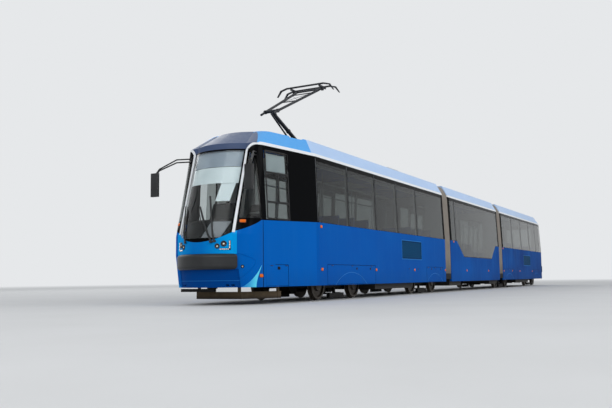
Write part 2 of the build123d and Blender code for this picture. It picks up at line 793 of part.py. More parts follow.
def seat(back, half, facing, floor):
    """A moulded seat on its pedestal; facing is +1 towards the cab and -1 towards the tail."""
    with BuildSketch(Plane.XZ.offset(-(half + seat_width / 2))) as profile:
        with BuildLine():
            x = station(back)
            Polyline((x, floor + seat_height), (x + facing * seat_depth, floor + seat_height + 20),
                     (x + facing * seat_depth, floor + seat_height - seat_thick),
                     (x - facing * seat_thick, floor + seat_height - seat_thick),
                     (x - facing * (seat_thick + 90), floor + seat_back_height),
                     (x - facing * 90, floor + seat_back_height), close=True)
        make_face()
    extrude(profile.sketch, amount=seat_width)
    with BuildSketch(Plane.XY.offset(floor)) as pedestal:
        with Locations((station(back) + facing * seat_depth / 2, half)):
            Rectangle(2 * pedestal_half, 2 * pedestal_half)
    extrude(pedestal.sketch, amount=seat_height - seat_thick)


def seat_set(rows, label):
    """One section's seats."""
    with BuildPart() as seats:
        for back, half, facing, floor in rows:
            seat(back, half, facing, floor)
    finish(seats, label)


left_halves = [860, 400]
front_seat_rows = [(back, half, 1, floor_top) for back in (3900, 4750, 5600, 8700, 9550, 10400)
                   for half in left_halves]
front_seat_rows += [(back, -860, 1, floor_top) for back in (3900, 4750, 5600, 9300, 10150)]
middle_seat_rows = [(14500, 860, 1, low_floor_top), (15400, 860, 1, low_floor_top),
                    (16000, 860, -1, low_floor_top), (16900, 860, -1, low_floor_top)]
rear_seat_rows = [(back, half, 1, floor_top) for back in (20400, 21250, 22100, 25700, 26550)
                  for half in left_halves]
rear_seat_rows += [(back, -860, 1, floor_top) for back in (20400, 21250, 25700, 26550)]
seat_set(front_seat_rows, "front_seats")
seat_set(middle_seat_rows, "middle_seats")
seat_set(rear_seat_rows, "rear_seats")

# Cab: desk, driver's seat, and the wall behind and beside the driver
desk_half = 620
desk_back = 1080
cab_wall_back = 2240
cab_wall_thick = 40
cab_wall_side = -250
cab_inside_top = cant_rail - deck_thick
with BuildPart() as cab_desk:
    with BuildSketch(Plane.XZ.offset(-desk_half)):
        with BuildLine():
            Polyline((station(desk_back), floor_top), (station(desk_back), 1500), (station(desk_back - 60), 1640),
                     (station(640), 1620), (station(480), 1340), (station(560), floor_top), close=True)
        make_face()
    extrude(amount=2 * desk_half - 300)
finish(cab_desk, "cab_desk")

with BuildPart() as driver_seat:
    seat_x = station(1620)
    with BuildSketch(Plane.XZ.offset(-450)):
        with BuildLine():
            Polyline((seat_x, 1400), (seat_x + 460, 1430), (seat_x + 470, 1320), (seat_x - 90, 1290),
                     (seat_x - 240, 2060), (seat_x - 150, 2090), close=True)
        make_face()
    extrude(amount=480)
    side_block(1320, 1560, 100, 340, floor_top, 1330)
finish(driver_seat, "driver_seat")

with BuildPart() as cab_wall:
    wall_half = floor_half - 72
    side_block(cab_wall_back, cab_wall_back + cab_wall_thick, cab_wall_side, wall_half, floor_top,
               cab_inside_top)
    side_block(desk_back + 40, cab_wall_back + cab_wall_thick, cab_wall_side - cab_wall_thick, cab_wall_side,
               floor_top, cab_inside_top)
    side_block(cab_wall_back - 10, cab_wall_back + cab_wall_thick + 10, -100, wall_half - 300, 1750, 2750,
               mode=Mode.SUBTRACT)
    side_block(desk_back + 300, cab_wall_back - 200, cab_wall_side - cab_wall_thick - 10, cab_wall_side + 10,
               1650, 2750, mode=Mode.SUBTRACT)
    end_form(cab_levels, 1, wall + fit_gap, -10, -deck_thick - fit_gap, mode=Mode.INTERSECT)
finish(cab_wall, "cab_wall")

# Roof equipment: back from, back to, half width, top
unit_foot = cant_rail
front_unit_rows = [(5700, 7500, 620, 3480), (8100, 9000, 700, 3655), (9500, 11200, 640, 3470)]
middle_unit_rows = [(12900, 14900, 640, 3480), (16200, 17400, 700, 3640)]
rear_unit_rows = [(20200, 22300, 640, 3480), (23200, 24400, 700, 3640), (25100, 26600, 600, 3470)]


def unit_set(rows, label):
    """The covered boxes on one section's roof."""
    with BuildPart() as units:
        for start, end, half, top in rows:
            roof_box(start, end, half, unit_foot, top)
        chamfer(units.faces().sort_by(Axis.Z)[-1].edges(), 40)
    finish(units, label)


unit_set(front_unit_rows, "front_roof_units")
unit_set(middle_unit_rows, "middle_roof_units")
unit_set(rear_unit_rows, "rear_roof_units")

# Bellows: a hoop that follows the body's section and the fairing, a little inside them
bellows_inset = 25
bellows_thick = 45
bellows_low = 580
bellows_floor = 790


def hoop_points(inset, low, top):
    """The hoop's right half from its lower edge to the middle of its top."""
    lean = (side_half - cant_half) * (cant_rail - belt) / (cant_rail - belt)
    points = [(side_half - inset, low), (side_half - inset, belt), (side_half - lean - inset, cant_rail)]
    if top > cant_rail:
        points.append((fairing_half - inset, top))
    return points


for index, (start, end) in enumerate([(front_end, middle_start), (middle_end, rear_start)], 1):
    outer = hoop_points(bellows_inset, bellows_low, fairing_top - bellows_inset)
    foot = [(bellows_thick + bellows_inset - side_half, bellows_low),
            (bellows_thick + bellows_inset - side_half, bellows_floor),
            (side_half - bellows_inset - bellows_thick, bellows_floor),
            (side_half - bellows_inset - bellows_thick, bellows_low)]
    inner = hoop_points(bellows_inset + bellows_thick, bellows_floor + bellows_thick, cant_rail)
    with BuildPart() as bellows:
        with BuildSketch(Plane.YZ.offset(station(end - fit_gap))):
            with BuildLine():
                Polyline(*outer, *[(-y, z) for y, z in reversed(outer)], *foot, close=True)
            make_face()
            with BuildLine():
                Polyline(*inner, *[(-y, z) for y, z in reversed(inner)], close=True)
            make_face(mode=Mode.SUBTRACT)
        extrude(amount=end - start - 2 * fit_gap)
    finish(bellows, f"bellows_{index}")

# Bogies: an inside frame with its motors, gearboxes, centre bearing and track brakes
beam_half = 580
beam_width = 90
beam_low = 270
beam_top = 470
beam_reach = wheelbase / 2 + 190
bearing_gap = 0.4
gearbox_radius = 210
gearbox_half = 150
motor_radius = 190
motor_length = 480
bolster_reach = 210
bolster_half = 860
bolster_low = 480
bolster_top = 640
centre_radius = 230
brake_length = 760
brake_low = 45
brake_top = 150
brake_width = 80
spring_half = 700
spring_radius = 95
spring_neck = 16
spring_rings = 5


def spring(middle, half):
    """A ringed rubber spring, turned about its own upright axis, from the bolster to the floor."""
    pitch = (pivot_top - fit_gap - bolster_top) / spring_rings
    outline = [(middle, bolster_top)]
    for index in range(spring_rings):
        low = bolster_top + index * pitch
        outline += [(middle + spring_radius - spring_neck, low), (middle + spring_radius, low + pitch / 2)]
    outline += [(middle + spring_radius - spring_neck, pivot_top - fit_gap), (middle, pivot_top - fit_gap)]
    with BuildSketch(Plane.XZ.offset(-half)) as section:
        with BuildLine():
            Polyline(*outline, close=True)
        make_face()
    revolve(section.sketch, axis=Axis((middle, half, 0), (0, 0, 1)))


for name, back in bogie_backs.items():
    with BuildPart() as bogie:
        middle = station(back)
        for side in (1, -1):
            with BuildSketch(Plane.XZ.offset(-side * beam_half - beam_width / 2)):
                with BuildLine():
                    FilletPolyline((middle - beam_reach, beam_low), (middle - beam_reach, beam_top),
                                   (middle - 420, beam_top), (middle - 260, beam_top - 90),
                                   (middle + 260, beam_top - 90), (middle + 420, beam_top),
                                   (middle + beam_reach, beam_top), (middle + beam_reach, beam_low),
                                   radius=40, close=True)
                make_face()
                with Locations((middle - wheelbase / 2, axle_height), (middle + wheelbase / 2, axle_height)):
                    Circle(axle_radius + bearing_gap, mode=Mode.SUBTRACT)
            extrude(amount=beam_width)
            side_block(back - brake_length / 2, back + brake_length / 2, side * rail_half - brake_width / 2,
                       side * rail_half + brake_width / 2, brake_low, brake_top)
            for end in (-1, 1):
                side_block(back + end * 260 - 30, back + end * 260 + 30,
                           min(side * (beam_half - 30), side * rail_half),
                           max(side * (beam_half - 30), side * rail_half), brake_top - 30, brake_top + 10)
                side_block(back + end * 260 - 30, back + end * 260 + 30,
                           side * (beam_half) - 30, side * (beam_half) + 30, brake_top - 30, beam_low + 20)
        side_block(back - bolster_reach, back + bolster_reach, -beam_half, beam_half, beam_low + 40,
                   bolster_low)
        side_block(back - bolster_reach + 40, back + bolster_reach - 40, -bolster_half, bolster_half,
                   bolster_low, bolster_top)
        with BuildSketch(Plane.XY.offset(bolster_top)):
            with Locations((middle, 0)):
                Circle(centre_radius)
        extrude(amount=pivot_top - fit_gap - bolster_top)
        for side in (1, -1):
            spring(middle, side * spring_half)
        for end in (-1, 1):
            axle_x = middle + end * wheelbase / 2
            with BuildSketch(Plane.XZ.offset(gearbox_half)) as gearbox:
                with Locations((axle_x, axle_height)):
                    Circle(gearbox_radius)
                    Circle(axle_radius + bearing_gap, mode=Mode.SUBTRACT)
            extrude(gearbox.sketch, amount=-2 * gearbox_half)
            with BuildSketch(Plane.YZ.offset(axle_x - end * (gearbox_radius - 30))) as motor:
                with Locations((0, axle_height + 20)):
                    Circle(motor_radius)
            extrude(motor.sketch, amount=-end * motor_length)
            side_block(back - end * (wheelbase / 2 + 190) - 45, back - end * (wheelbase / 2 + 190) + 45,
                       -beam_half, beam_half, beam_low + 20, beam_top - 40)
    finish(bogie, f"bogie_{name}")

    for place, shift in (("front", -wheelbase / 2), ("rear", wheelbase / 2)):
        with BuildPart() as axle:
            axle_x = station(back + shift)
            axle_plane = Plane(origin=(axle_x, 0, axle_height), x_dir=(0, 1, 0), z_dir=(1, 0, 0))
            with BuildSketch(axle_plane) as half_section:
                with BuildLine():
                    outer = wheel_inner + wheel_width
                    hub = axle_radius + 60
                    Polyline((-outer - 10, 0), (-outer - 10, hub), (-outer + 30, hub + 20),
                             (-outer + 35, tread_radius - 55), (-outer, tread_radius - 50),
                             (-outer, tread_radius - 2), (-wheel_inner - flange_width, tread_radius),
                             (-wheel_inner - flange_width + 10, axle_height), (-wheel_inner, axle_height - 6),
                             (-wheel_inner, hub), (-wheel_inner + 20, axle_radius), (wheel_inner - 20, axle_radius),
                             (wheel_inner, hub), (wheel_inner, axle_height - 6),
                             (wheel_inner + flange_width - 10, axle_height),
                             (wheel_inner + flange_width, tread_radius), (outer, tread_radius - 2),
                             (outer, tread_radius - 50), (outer - 35, tread_radius - 55),
                             (outer - 30, hub + 20), (outer + 10, hub), (outer + 10, 0), close=True)
                make_face()
            revolve(half_section.sketch, axis=Axis((axle_x, 0, axle_height), (0, 1, 0)))
            for side in (1, -1):
                split(bisect_by=Plane.XZ.offset(side * wheel_inner), keep=Keep.BOTH)
        finish(axle, f"axle_{name}_{place}")

# Lids in the side skirt, hinged along their upper outer edge
def arch_sketch(back, half, apex):
    """A bogie's arch on the left side's outer face: the band between two arcs."""
    with BuildSketch(Plane.XZ.offset(-side_half)) as arch:
        for grow, mode in ((2 * seam_width, Mode.ADD), (0, Mode.SUBTRACT)):
            with BuildLine():
                ThreePointArc((station(back + half + grow), lid_low - 10), (station(back), apex + grow),
                              (station(back - half - grow), lid_low - 10))
                Line((station(back - half - grow), lid_low - 10), (station(back + half + grow), lid_low - 10))
            make_face(mode=mode)
    return arch.sketch


front_lid_skin = front_skin(lid_thick)
rear_lid_skin = rear_skin(lid_thick)
for name, start, end, top in lid_rows:
    with BuildPart() as lid:
        add(front_lid_skin if start < front_end else rear_lid_skin)
        side_windows([(start, end, lid_low, top)], 1, mode=Mode.INTERSECT)
        if name in arch_rows:
            extrude(arch_sketch(*arch_rows[name]), amount=groove_depth, mode=Mode.SUBTRACT)
    finish(lid, name)

# Mirrors, wipers, guard boards and the folded coupler
mirror_half = 1120
mirror_back = 150
mirror_low = 2150
mirror_top = 2620
mirror_width = 190
mirror_depth = 75
mirror_arm_radius = 14
mirror_arm_pitch = 60
with BuildPart() as mirrors:
    for side in (1, -1):
        with BuildSketch(Plane.XY.offset(mirror_low)) as housing:
            with Locations((station(mirror_back), side * mirror_half)):
                RectangleRounded(mirror_depth, mirror_width, 30)
        extrude(housing.sketch, amount=mirror_top - mirror_low)
        for drop in (0, mirror_arm_pitch):
            with BuildLine(mode=Mode.PRIVATE) as path:
                FilletPolyline((station(cab_seam), side * 800, 2990 - drop),
                               (station(600), side * 935, 2945 - drop),
                               (station(mirror_back + 110), side * (mirror_half - 20), 2720 - drop / 2),
                               (station(mirror_back + drop / 3), side * mirror_half, mirror_top - 40), radius=40)
            start_plane = Plane(origin=path.wire() @ 0, z_dir=path.wire() % 0)
            with BuildSketch(start_plane) as tube:
                Circle(mirror_arm_radius)
            sweep(tube.sketch, path=path.wire())
    end_form(cab_levels, 1, -fit_gap, mode=Mode.SUBTRACT)
finish(mirrors, "mirrors")

wiper_proud = 12
wiper_thick = 22
# Wipers: half and height of the pivot, half and height of the upper end, width
wiper_rows = [(300, 1205, -60, 1900, 30), (350, 1215, 130, 2100, 24), (-330, 1210, -560, 1950, 30)]
wiper_pivot_radius = 22
with BuildPart() as wiper_pegs:
    end_form(cab_levels, 1, -wiper_proud - wiper_thick)
    end_form(cab_levels, 1, -fit_gap, -10, 10, mode=Mode.SUBTRACT)
    with BuildSketch(Plane.YZ.offset(station(cab_seam))) as pegs:
        for half, low, top_half, top, width in wiper_rows:
            with Locations((half, low)):
                Circle(wiper_pivot_radius)
    extrude(pegs.sketch, amount=1100, mode=Mode.INTERSECT)

with BuildPart() as wipers:
    end_form(cab_levels, 1, -wiper_proud - wiper_thick)
    end_form(cab_levels, 1, -wiper_proud, -10, 10, mode=Mode.SUBTRACT)
    with BuildSketch(Plane.YZ.offset(station(cab_seam))) as bars:
        for half, low, top_half, top, width in wiper_rows:
            with BuildLine():
                Polyline((half - width / 2, low), (half + width / 2, low), (top_half + width / 2, top),
                         (top_half - width / 2, top), close=True)
            make_face()
    extrude(bars.sketch, amount=1100, mode=Mode.INTERSECT)
    add(wiper_pegs.part)
finish(wipers, "wipers")

guard_low = 110
guard_top = 250
guard_thick = 30
guard_front = (760, 540)
guard_rear = (1650, 900)
with BuildPart() as guard_boards:
    with BuildSketch(Plane.XY.offset(guard_low)):
        with BuildLine():
            front_back, front_half = guard_front
            rear_back, rear_half = guard_rear
            Polyline((station(rear_back), rear_half), (station(front_back), front_half),
                     (station(front_back), -front_half), (station(rear_back), -rear_half),
                     (station(rear_back), -rear_half + guard_thick),
                     (station(front_back + guard_thick), guard_thick / 2 - front_half),
                     (station(front_back + guard_thick), front_half - guard_thick / 2),
                     (station(rear_back), rear_half - guard_thick), close=True)
        make_face()
    extrude(amount=guard_top - guard_low)
    for half in (-480, 480):
        side_block(front_back, front_back + guard_thick, half - 30, half + 30, guard_top,
                   floor_top - floor_thick - fit_gap)
    tread_under = door_low + (floor_top - door_low) / 3 - 20 - tread_thick
    for side, top in ((1, floor_top - floor_thick), (-1, tread_under)):
        half = side * (rear_half - 45)
        side_block(rear_back - 80, rear_back - 20, half - 20, half + 20, guard_low + 20, top - fit_gap)
finish(guard_boards, "guard_boards")

coupler_back = 560
coupler_height = 285
coupler_reach = 760
coupler_eye_radius = 21
coupler_thick = 60
with BuildPart() as coupler:
    side_block(coupler_back - 35, coupler_back + 35, -coupler_reach + 60, 60, coupler_height - 30,
               coupler_height + 30)
    with BuildSketch(Plane.XY.offset(coupler_height - coupler_thick / 2)):
        with Locations((station(coupler_back), -coupler_reach + 60)):
            Circle(60)
            Circle(coupler_eye_radius, mode=Mode.SUBTRACT)
    extrude(amount=coupler_thick)
    with Locations((station(coupler_back), -coupler_reach + 60, coupler_height)):
        Hole(coupler_eye_radius)
    side_block(coupler_back - 20, coupler_back + 80, -40, 60, coupler_height + 30,
               floor_top - floor_thick - fit_gap)
finish(coupler, "coupler")


# Pantograph, drawn in its side plane from its pivots
def link_point(place):
    """A pivot's place as X and Z."""
    return (station(place[0]), place[1])


def tube_between(low, high, half_low, half_high, radius):
    """A straight tube between two places given as back, height and half."""
    start = Vector(station(low[0]), half_low, low[1])
    stop = Vector(station(high[0]), half_high, high[1])
    with BuildSketch(Plane(origin=start, z_dir=stop - start)) as tube:
        Circle(radius)
    extrude(tube.sketch, amount=(stop - start).length)


def cross_tube(place, half_from, half_to, radius, bore=0, mode=Mode.ADD):
    """A tube across the tram at a pivot."""
    x, z = link_point(place)
    with BuildSketch(Plane.XZ.offset(-half_to)) as ring:
        with Locations((x, z)):
            Circle(radius)
            if bore:
                Circle(bore, mode=Mode.SUBTRACT)
    extrude(ring.sketch, amount=half_to - half_from, mode=mode)


base_half = 420
base_rail = 60
head_boss = 400
head_pin_radius = 18
pin_radius = 20
pin_gap = 0.4
base_low = cant_rail + 180
insulator_radius = 55
with BuildPart() as pantograph_base:
    for side in (1, -1):
        side_block(3600, 4900, side * base_half - base_rail / 2, side * base_half + base_rail / 2, base_low,
                   base_low + base_rail)
        for back in (3650, 4850):
            with BuildSketch(Plane.XY.offset(cant_rail)):
                with Locations((station(back), side * base_half)):
                    Circle(insulator_radius)
            extrude(amount=base_low - cant_rail)
    for back in (3640, 4340, 4860):
        side_block(back - 30, back + 30, -base_half, base_half, base_low, base_low + base_rail)
    x, z = link_point(base_pivot)
    for side in (1, -1):
        with BuildSketch(Plane.XZ.offset(-side * 170 - 15)) as cheek:
            with BuildLine():
                Polyline((x - 90, base_low + 10), (x + 90, base_low + 10), (x + 45, z + 45), (x - 45, z + 45),
                         close=True)
            make_face()
            with Locations((x, z)):
                Circle(pin_radius + pin_gap, mode=Mode.SUBTRACT)
        extrude(cheek.sketch, amount=30)
    x, z = link_point(rod_pivot)
    for half in (70, 130):
        with BuildSketch(Plane.XZ.offset(-half - 8)) as cheek:
            with BuildLine():
                Polyline((x - 130, base_low + 10), (x + 40, base_low + 10), (x + 35, z + 35), (x - 35, z + 35),
                         close=True)
            make_face()
            with Locations((x, z)):
                Circle(14 + pin_gap, mode=Mode.SUBTRACT)
        extrude(cheek.sketch, amount=16)
    side_block(3640, 3900, 62, 138, base_low, base_low + 30)
finish(pantograph_base, "pantograph_base")

with BuildPart() as lower_arm:
    cross_tube(base_pivot, -145, 145, 50)
    cross_tube(base_pivot, -195, 195, pin_radius)
    tube_between(base_pivot, knee, 0, 0, arm_radius)
    cross_tube(knee, -130, 130, knee_radius)
    cross_tube(knee, -131, 131, pin_radius + pin_gap, mode=Mode.SUBTRACT)
finish(lower_arm, "lower_arm")

with BuildPart() as upper_arm:
    cross_tube(knee, -190, 190, pin_radius)
    for side in (1, -1):
        cross_tube(knee, min(side * 140, side * 190), max(side * 140, side * 190), 45)
        tube_between(knee, head_pivot, side * 165, side * 330, upper_radius)
        tube_between(knee, rod_eye, side * 165, side * 165, upper_radius)
    cross_tube(rod_eye, 128, 165, 14)
    cross_tube(head_pivot, -head_boss - 30, head_boss + 30, head_pin_radius)
finish(upper_arm, "upper_arm")

with BuildPart() as thrust_rod:
    cross_tube(rod_pivot, 58, 142, 14)
    cross_tube(rod_pivot, 80, 120, 30)
    tube_between(rod_pivot, rod_eye, 100, 100, 20)
finish(thrust_rod, "thrust_rod")

strip_height = 5280
strip_half = 520
horn_half = 800
strip_spacing = 330
with BuildPart() as collector_head:
    head_x, head_z = link_point(head_pivot)
    for end in (-1, 1):
        x = head_x + end * strip_spacing / 2
        with BuildSketch(Plane.YZ.offset(x - 22)) as strip:
            with BuildLine():
                Polyline((-horn_half, strip_height - 210), (-horn_half + 20, strip_height - 215),
                         (-horn_half + 130, strip_height - 75), (-strip_half, strip_height - 35),
                         (strip_half, strip_height - 35), (horn_half - 130, strip_height - 75),
                         (horn_half - 20, strip_height - 215), (horn_half, strip_height - 210),
                         (horn_half - 100, strip_height - 50), (strip_half, strip_height),
                         (-strip_half, strip_height), (-horn_half + 100, strip_height - 50), close=True)
            make_face()
        extrude(strip.sketch, amount=44)
    for side in (1, -1):
        half = side * head_boss
        cross_tube(head_pivot, half - 25, half + 25, 40, head_pin_radius + pin_gap)
        side_block(head_pivot[0] - strip_spacing / 2 - 15, head_pivot[0] + strip_spacing / 2 + 15, half - 15,
                   half + 15, head_z + 30, strip_height - 30)
finish(collector_head, "collector_head")
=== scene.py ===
import math

import bmesh
import bpy
import numpy as np
from mathutils import Matrix, Vector
from mathutils.bvhtree import BVHTree


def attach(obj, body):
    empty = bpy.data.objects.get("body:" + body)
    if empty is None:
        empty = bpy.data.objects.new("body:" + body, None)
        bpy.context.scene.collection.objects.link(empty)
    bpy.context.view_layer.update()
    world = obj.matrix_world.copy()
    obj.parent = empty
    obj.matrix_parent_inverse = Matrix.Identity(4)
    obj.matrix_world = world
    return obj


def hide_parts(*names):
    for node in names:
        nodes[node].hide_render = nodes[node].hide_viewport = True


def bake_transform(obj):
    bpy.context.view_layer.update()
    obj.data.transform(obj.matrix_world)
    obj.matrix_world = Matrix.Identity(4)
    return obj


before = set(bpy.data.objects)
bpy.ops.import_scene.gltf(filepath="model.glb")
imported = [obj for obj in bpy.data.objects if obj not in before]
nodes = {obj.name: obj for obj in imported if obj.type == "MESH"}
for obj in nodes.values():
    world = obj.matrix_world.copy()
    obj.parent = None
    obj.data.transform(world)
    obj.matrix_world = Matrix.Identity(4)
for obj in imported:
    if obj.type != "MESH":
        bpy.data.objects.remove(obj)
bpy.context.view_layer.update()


# The viewpoint: a low place ahead of the tram and to its left, looking slightly up along its side.
# The frame's +X points to the cab, and distances "back" are measured from the bumper's face.
def new_object(name, data):
    """A new object in the scene."""
    thing = bpy.data.objects.new(name, data)
    bpy.context.scene.collection.objects.link(thing)
    return thing


nose_x = 14.2
eye = Vector((25.086, 8.297, 0.491))
yaw, pitch, roll = (math.radians(a) for a in (28.47, 5.95, -0.713))
ahead = Vector((-math.cos(yaw) * math.cos(pitch), -math.sin(yaw) * math.cos(pitch), math.sin(pitch)))
level = ahead.cross(Vector((0, 0, 1))).normalized()
upright = level.cross(ahead)
across = level * math.cos(roll) + upright * math.sin(roll)
upward = upright * math.cos(roll) - level * math.sin(roll)
camera = new_object("camera", bpy.data.cameras.new("camera"))
camera.data.lens = 42.08
camera.data.sensor_width = 36
camera.data.clip_end = 500
camera.matrix_world = Matrix([(across[i], upward[i], -ahead[i], eye[i]) for i in range(3)] + [(0, 0, 0, 1)])
bpy.context.scene.camera = camera
bpy.context.scene.view_settings.view_transform = "Standard"


# Floor and light: a plain pale floor that runs into a pale surround, a soft overcast sky, and
# three large soft lamps, the strongest on the side that the viewpoint sees.
def linear(code):
    """An sRGB hex colour as linear RGBA: a channel c is c/12.92 up to 0.04045 and ((c+0.055)/1.055)^2.4
    above it."""
    c = np.array([int(code[i:i + 2], 16) for i in (1, 3, 5)]) / 255
    c = np.where(c <= 0.04045, c / 12.92, ((c + 0.055) / 1.055) ** 2.4)
    return (*c.tolist(), 1.0)


def node_adder(tree):
    """Empties a node tree and gives the function that adds one node to it. Inputs are values, or sockets to
    link, in the node's order or keyed by input, and settings are its properties. It returns one output, or
    all of them where output is None."""
    tree.nodes.clear()

    def add(kind, inputs=(), output=0, **settings):
        node = tree.nodes.new("ShaderNode" + kind)
        for name, value in settings.items():
            setattr(node, name, value)
        for socket, value in inputs.items() if isinstance(inputs, dict) else enumerate(inputs):
            if isinstance(value, bpy.types.NodeSocket):
                tree.links.new(value, node.inputs[socket])
            else:
                node.inputs[socket].default_value = value
        return node.outputs if output is None else node.outputs[output]

    return add


def new_material(name):
    """An empty material and the function that adds a node to it."""
    material = bpy.data.materials.new(name)
    material.use_nodes = True
    return material, node_adder(material.node_tree)


def layered(add, base, *rows):
    """Colours laid over a base, each a hex code or a socket: a row is a mask from 0 to 1 and the colour that
    it brings in."""
    for mask, over in rows:
        under, over = (linear(colour) if isinstance(colour, str) else colour for colour in (base, over))
        base = add("Mix", {0: mask, 6: under, 7: over}, 2, data_type="RGBA")
    return base


def grid_mesh(name, grids, wraps=False):
    """A mesh from arrays of points (rows, columns, 3): each cell is a quad between two rows and two columns,
    and the last column may wrap round to the first."""
    points, quads, base = [], [], 0
    for grid in grids:
        rows, columns = grid.shape[:2]
        i, j = np.meshgrid(np.arange(rows - 1), np.arange(columns - (not wraps)), indexing="ij")
        beside = (j + 1) % columns
        cells = np.stack([i * columns + j, i * columns + beside, (i + 1) * columns + beside,
                          (i + 1) * columns + j], axis=-1)
        quads.append(base + cells.reshape(-1, 4))
        points.append(grid.reshape(-1, 3))
        base += rows * columns
    mesh = bpy.data.meshes.new(name)
    mesh.from_pydata(np.concatenate(points).tolist(), [], np.concatenate(quads).tolist())
    return mesh


floor_reach = 160.0
floor_line = np.linspace(-floor_reach, floor_reach, 3)
floor_x, floor_y = np.meshgrid(floor_line, floor_line, indexing="ij")
floor = new_object("floor", grid_mesh("floor", [np.stack([floor_x, floor_y, 0 * floor_x], axis=-1)]))
backdrop_colour = linear("#E6E8EA")
material, add = new_material("pale_floor")
place = add("TexCoord", output="Object")
paving = add("TexNoise", {"Vector": place, "Scale": 0.6, "Detail": 5.0})
colour = layered(add, "#CFD0D0", (paving, "#D9DADB"))
shader = add("BsdfPrincipled", {"Base Color": colour, "Roughness": 0.9})
far_off = add("VectorMath", (place,), "Value", operation="LENGTH")
fade = add("MapRange", (far_off, 24.0, 70.0))
haze = add("Emission", (backdrop_colour, 1.0))
add("OutputMaterial", (add("MixShader", (fade, shader, haze)),), None)
floor.data.materials.append(material)

world = bpy.data.worlds.new("soft_sky")
bpy.context.scene.world = world
world.use_nodes = True
add = node_adder(world.node_tree)
upness = add("SeparateXYZ", (add("TexCoord", output="Generated"),), "Z")
sky = layered(add, "#D6D9DC", (add("MapRange", (upness, -0.05, 0.7), clamp=True), "#F2F5F9"))
light = add("Background", (sky, 0.62))
backdrop = add("Background", (backdrop_colour, 1.0))
rays = add("LightPath", output=None)
direct = 0.0
for kind in ("Is Camera Ray", "Is Glossy Ray", "Is Transmission Ray"):
    direct = add("Math", (rays[kind], direct), operation="MAXIMUM")
add("OutputWorld", (add("MixShader", (direct, light, backdrop)),), None)

soft_lamps = [
    # name, place, what it looks at, width, height, watts
    ("side_lamp", (6, 26, 16), (2, 0, 1.5), 30, 14, 3000),
    ("front_lamp", (34, 6, 14), (12, 0, 1.5), 14, 14, 1500),
    ("far_lamp", (-6, -24, 18), (-2, 0, 2.0), 30, 14, 1800),
]
for name, spot, target, width, height, watts in soft_lamps:
    lamp = bpy.data.lights.new(name, "AREA")
    lamp.shape = "RECTANGLE"
    lamp.size, lamp.size_y, lamp.energy = width, height, watts
    lamp_object = new_object(name, lamp)
    lamp_object.location = spot
    lamp_object.rotation_euler = (Vector(target) - Vector(spot)).to_track_quat("-Z", "Y").to_euler()


# Wheelsets: forged steel wheels pressed on their axles. The treads are polished by the rails and
# the webs carry a brown film of brake dust.
def dress(names, material):
    """Gives the named CAD nodes one material."""
    for name in names:
        slots = nodes[name].data.materials
        slots.clear()
        slots.append(material)


def surface(add, colour, roughness, relief, depth, **sockets):
    """Finishes a material: a shader with a relief of the given depth in metres, and more of its inputs by
    name."""
    bump = add("Bump", {"Height": relief, "Distance": depth})
    named = {key.replace("_", " ").title().replace("Ior", "IOR"): value for key, value in sockets.items()}
    shader = add("BsdfPrincipled", {"Base Color": colour, "Roughness": roughness, "Normal": bump, **named})
    add("OutputMaterial", (shader,), None)


def grained_material(name, code, other, patch, grain, rough, depth=0.0001, **sockets):
    """A material whose colour wanders between two hex colours in patches of a given width in metres. A
    finer grain, also in metres, changes its roughness by a sixth and raises it by a given depth."""
    material, add = new_material(name)
    place = add("TexCoord", output="Object")
    patches = add("TexNoise", {"Vector": place, "Scale": 1 / patch, "Detail": 4.0})
    colour = layered(add, code, (add("MapRange", (patches, 0.3, 0.7)), other))
    grains = add("TexNoise", {"Vector": place, "Scale": 1 / grain, "Detail": 2.0})
    roughness = add("MapRange", (grains, 0.3, 0.7, rough * 5 / 6, min(rough * 7 / 6, 1)))
    surface(add, colour, roughness, grains, depth, **sockets)
    return material


wheel_steel = grained_material("forged_wheel_steel", "#544D45", "#2C231B", 0.12, 0.004, 0.45, 0.0004,
                               metallic=0.8)
dress([f"axle_{i}_{end}" for i in (1, 2, 3, 4) for end in ("front", "rear")], wheel_steel)

# Bogies, coupler and underframe: welded steel in black chassis enamel, dulled by road dust that
# lies in brown patches.
chassis_black = grained_material("black_chassis_enamel", "#08080A", "#1B1713", 0.25, 0.006, 0.6, 0.0006,
                                 specular_ior_level=0.25)
dress(["coupler", "bogie_1", "bogie_2", "bogie_3", "bogie_4"], chassis_black)


# Floors: dark grey vinyl with light flecks, laid over a welded steel underframe with its equipment
# boxes. Under the floor all of it is dusty chassis enamel.
def between(add, *rows):
    """1 where each row's value lies over its low limit and under its high one, else 0. None is no limit."""
    result = 1.0
    for value, low, high in rows:
        for operation, limit in (("GREATER_THAN", low), ("LESS_THAN", high)):
            if limit is not None:
                passed = add("Math", (value, limit), operation=operation)
                result = add("Math", (passed, result), operation="MULTIPLY")
    return result


material, add = new_material("flecked_floor_vinyl")
place = add("TexCoord", output="Object")
height = add("SeparateXYZ", (place,), "Z")
upside = add("SeparateXYZ", (add("NewGeometry", output="Normal"),), "Z")
vinyl_here = between(add, (height, 0.395, None), (upside, 0.5, None))
flecks = add("TexNoise", {"Vector": place, "Scale": 180.0, "Detail": 1.0})
vinyl = layered(add, "#3A3D42", (between(add, (flecks, 0.62, None)), "#6C7076"))
dust = add("TexNoise", {"Vector": place, "Scale": 3.0, "Detail": 5.0})
colour = layered(add, "#0B0B0C", (dust, "#26211B"), (vinyl_here, vinyl))
surface(add, colour, 0.72, dust, 0.001)
dress(["front_floor", "middle_floor", "rear_floor"], material)

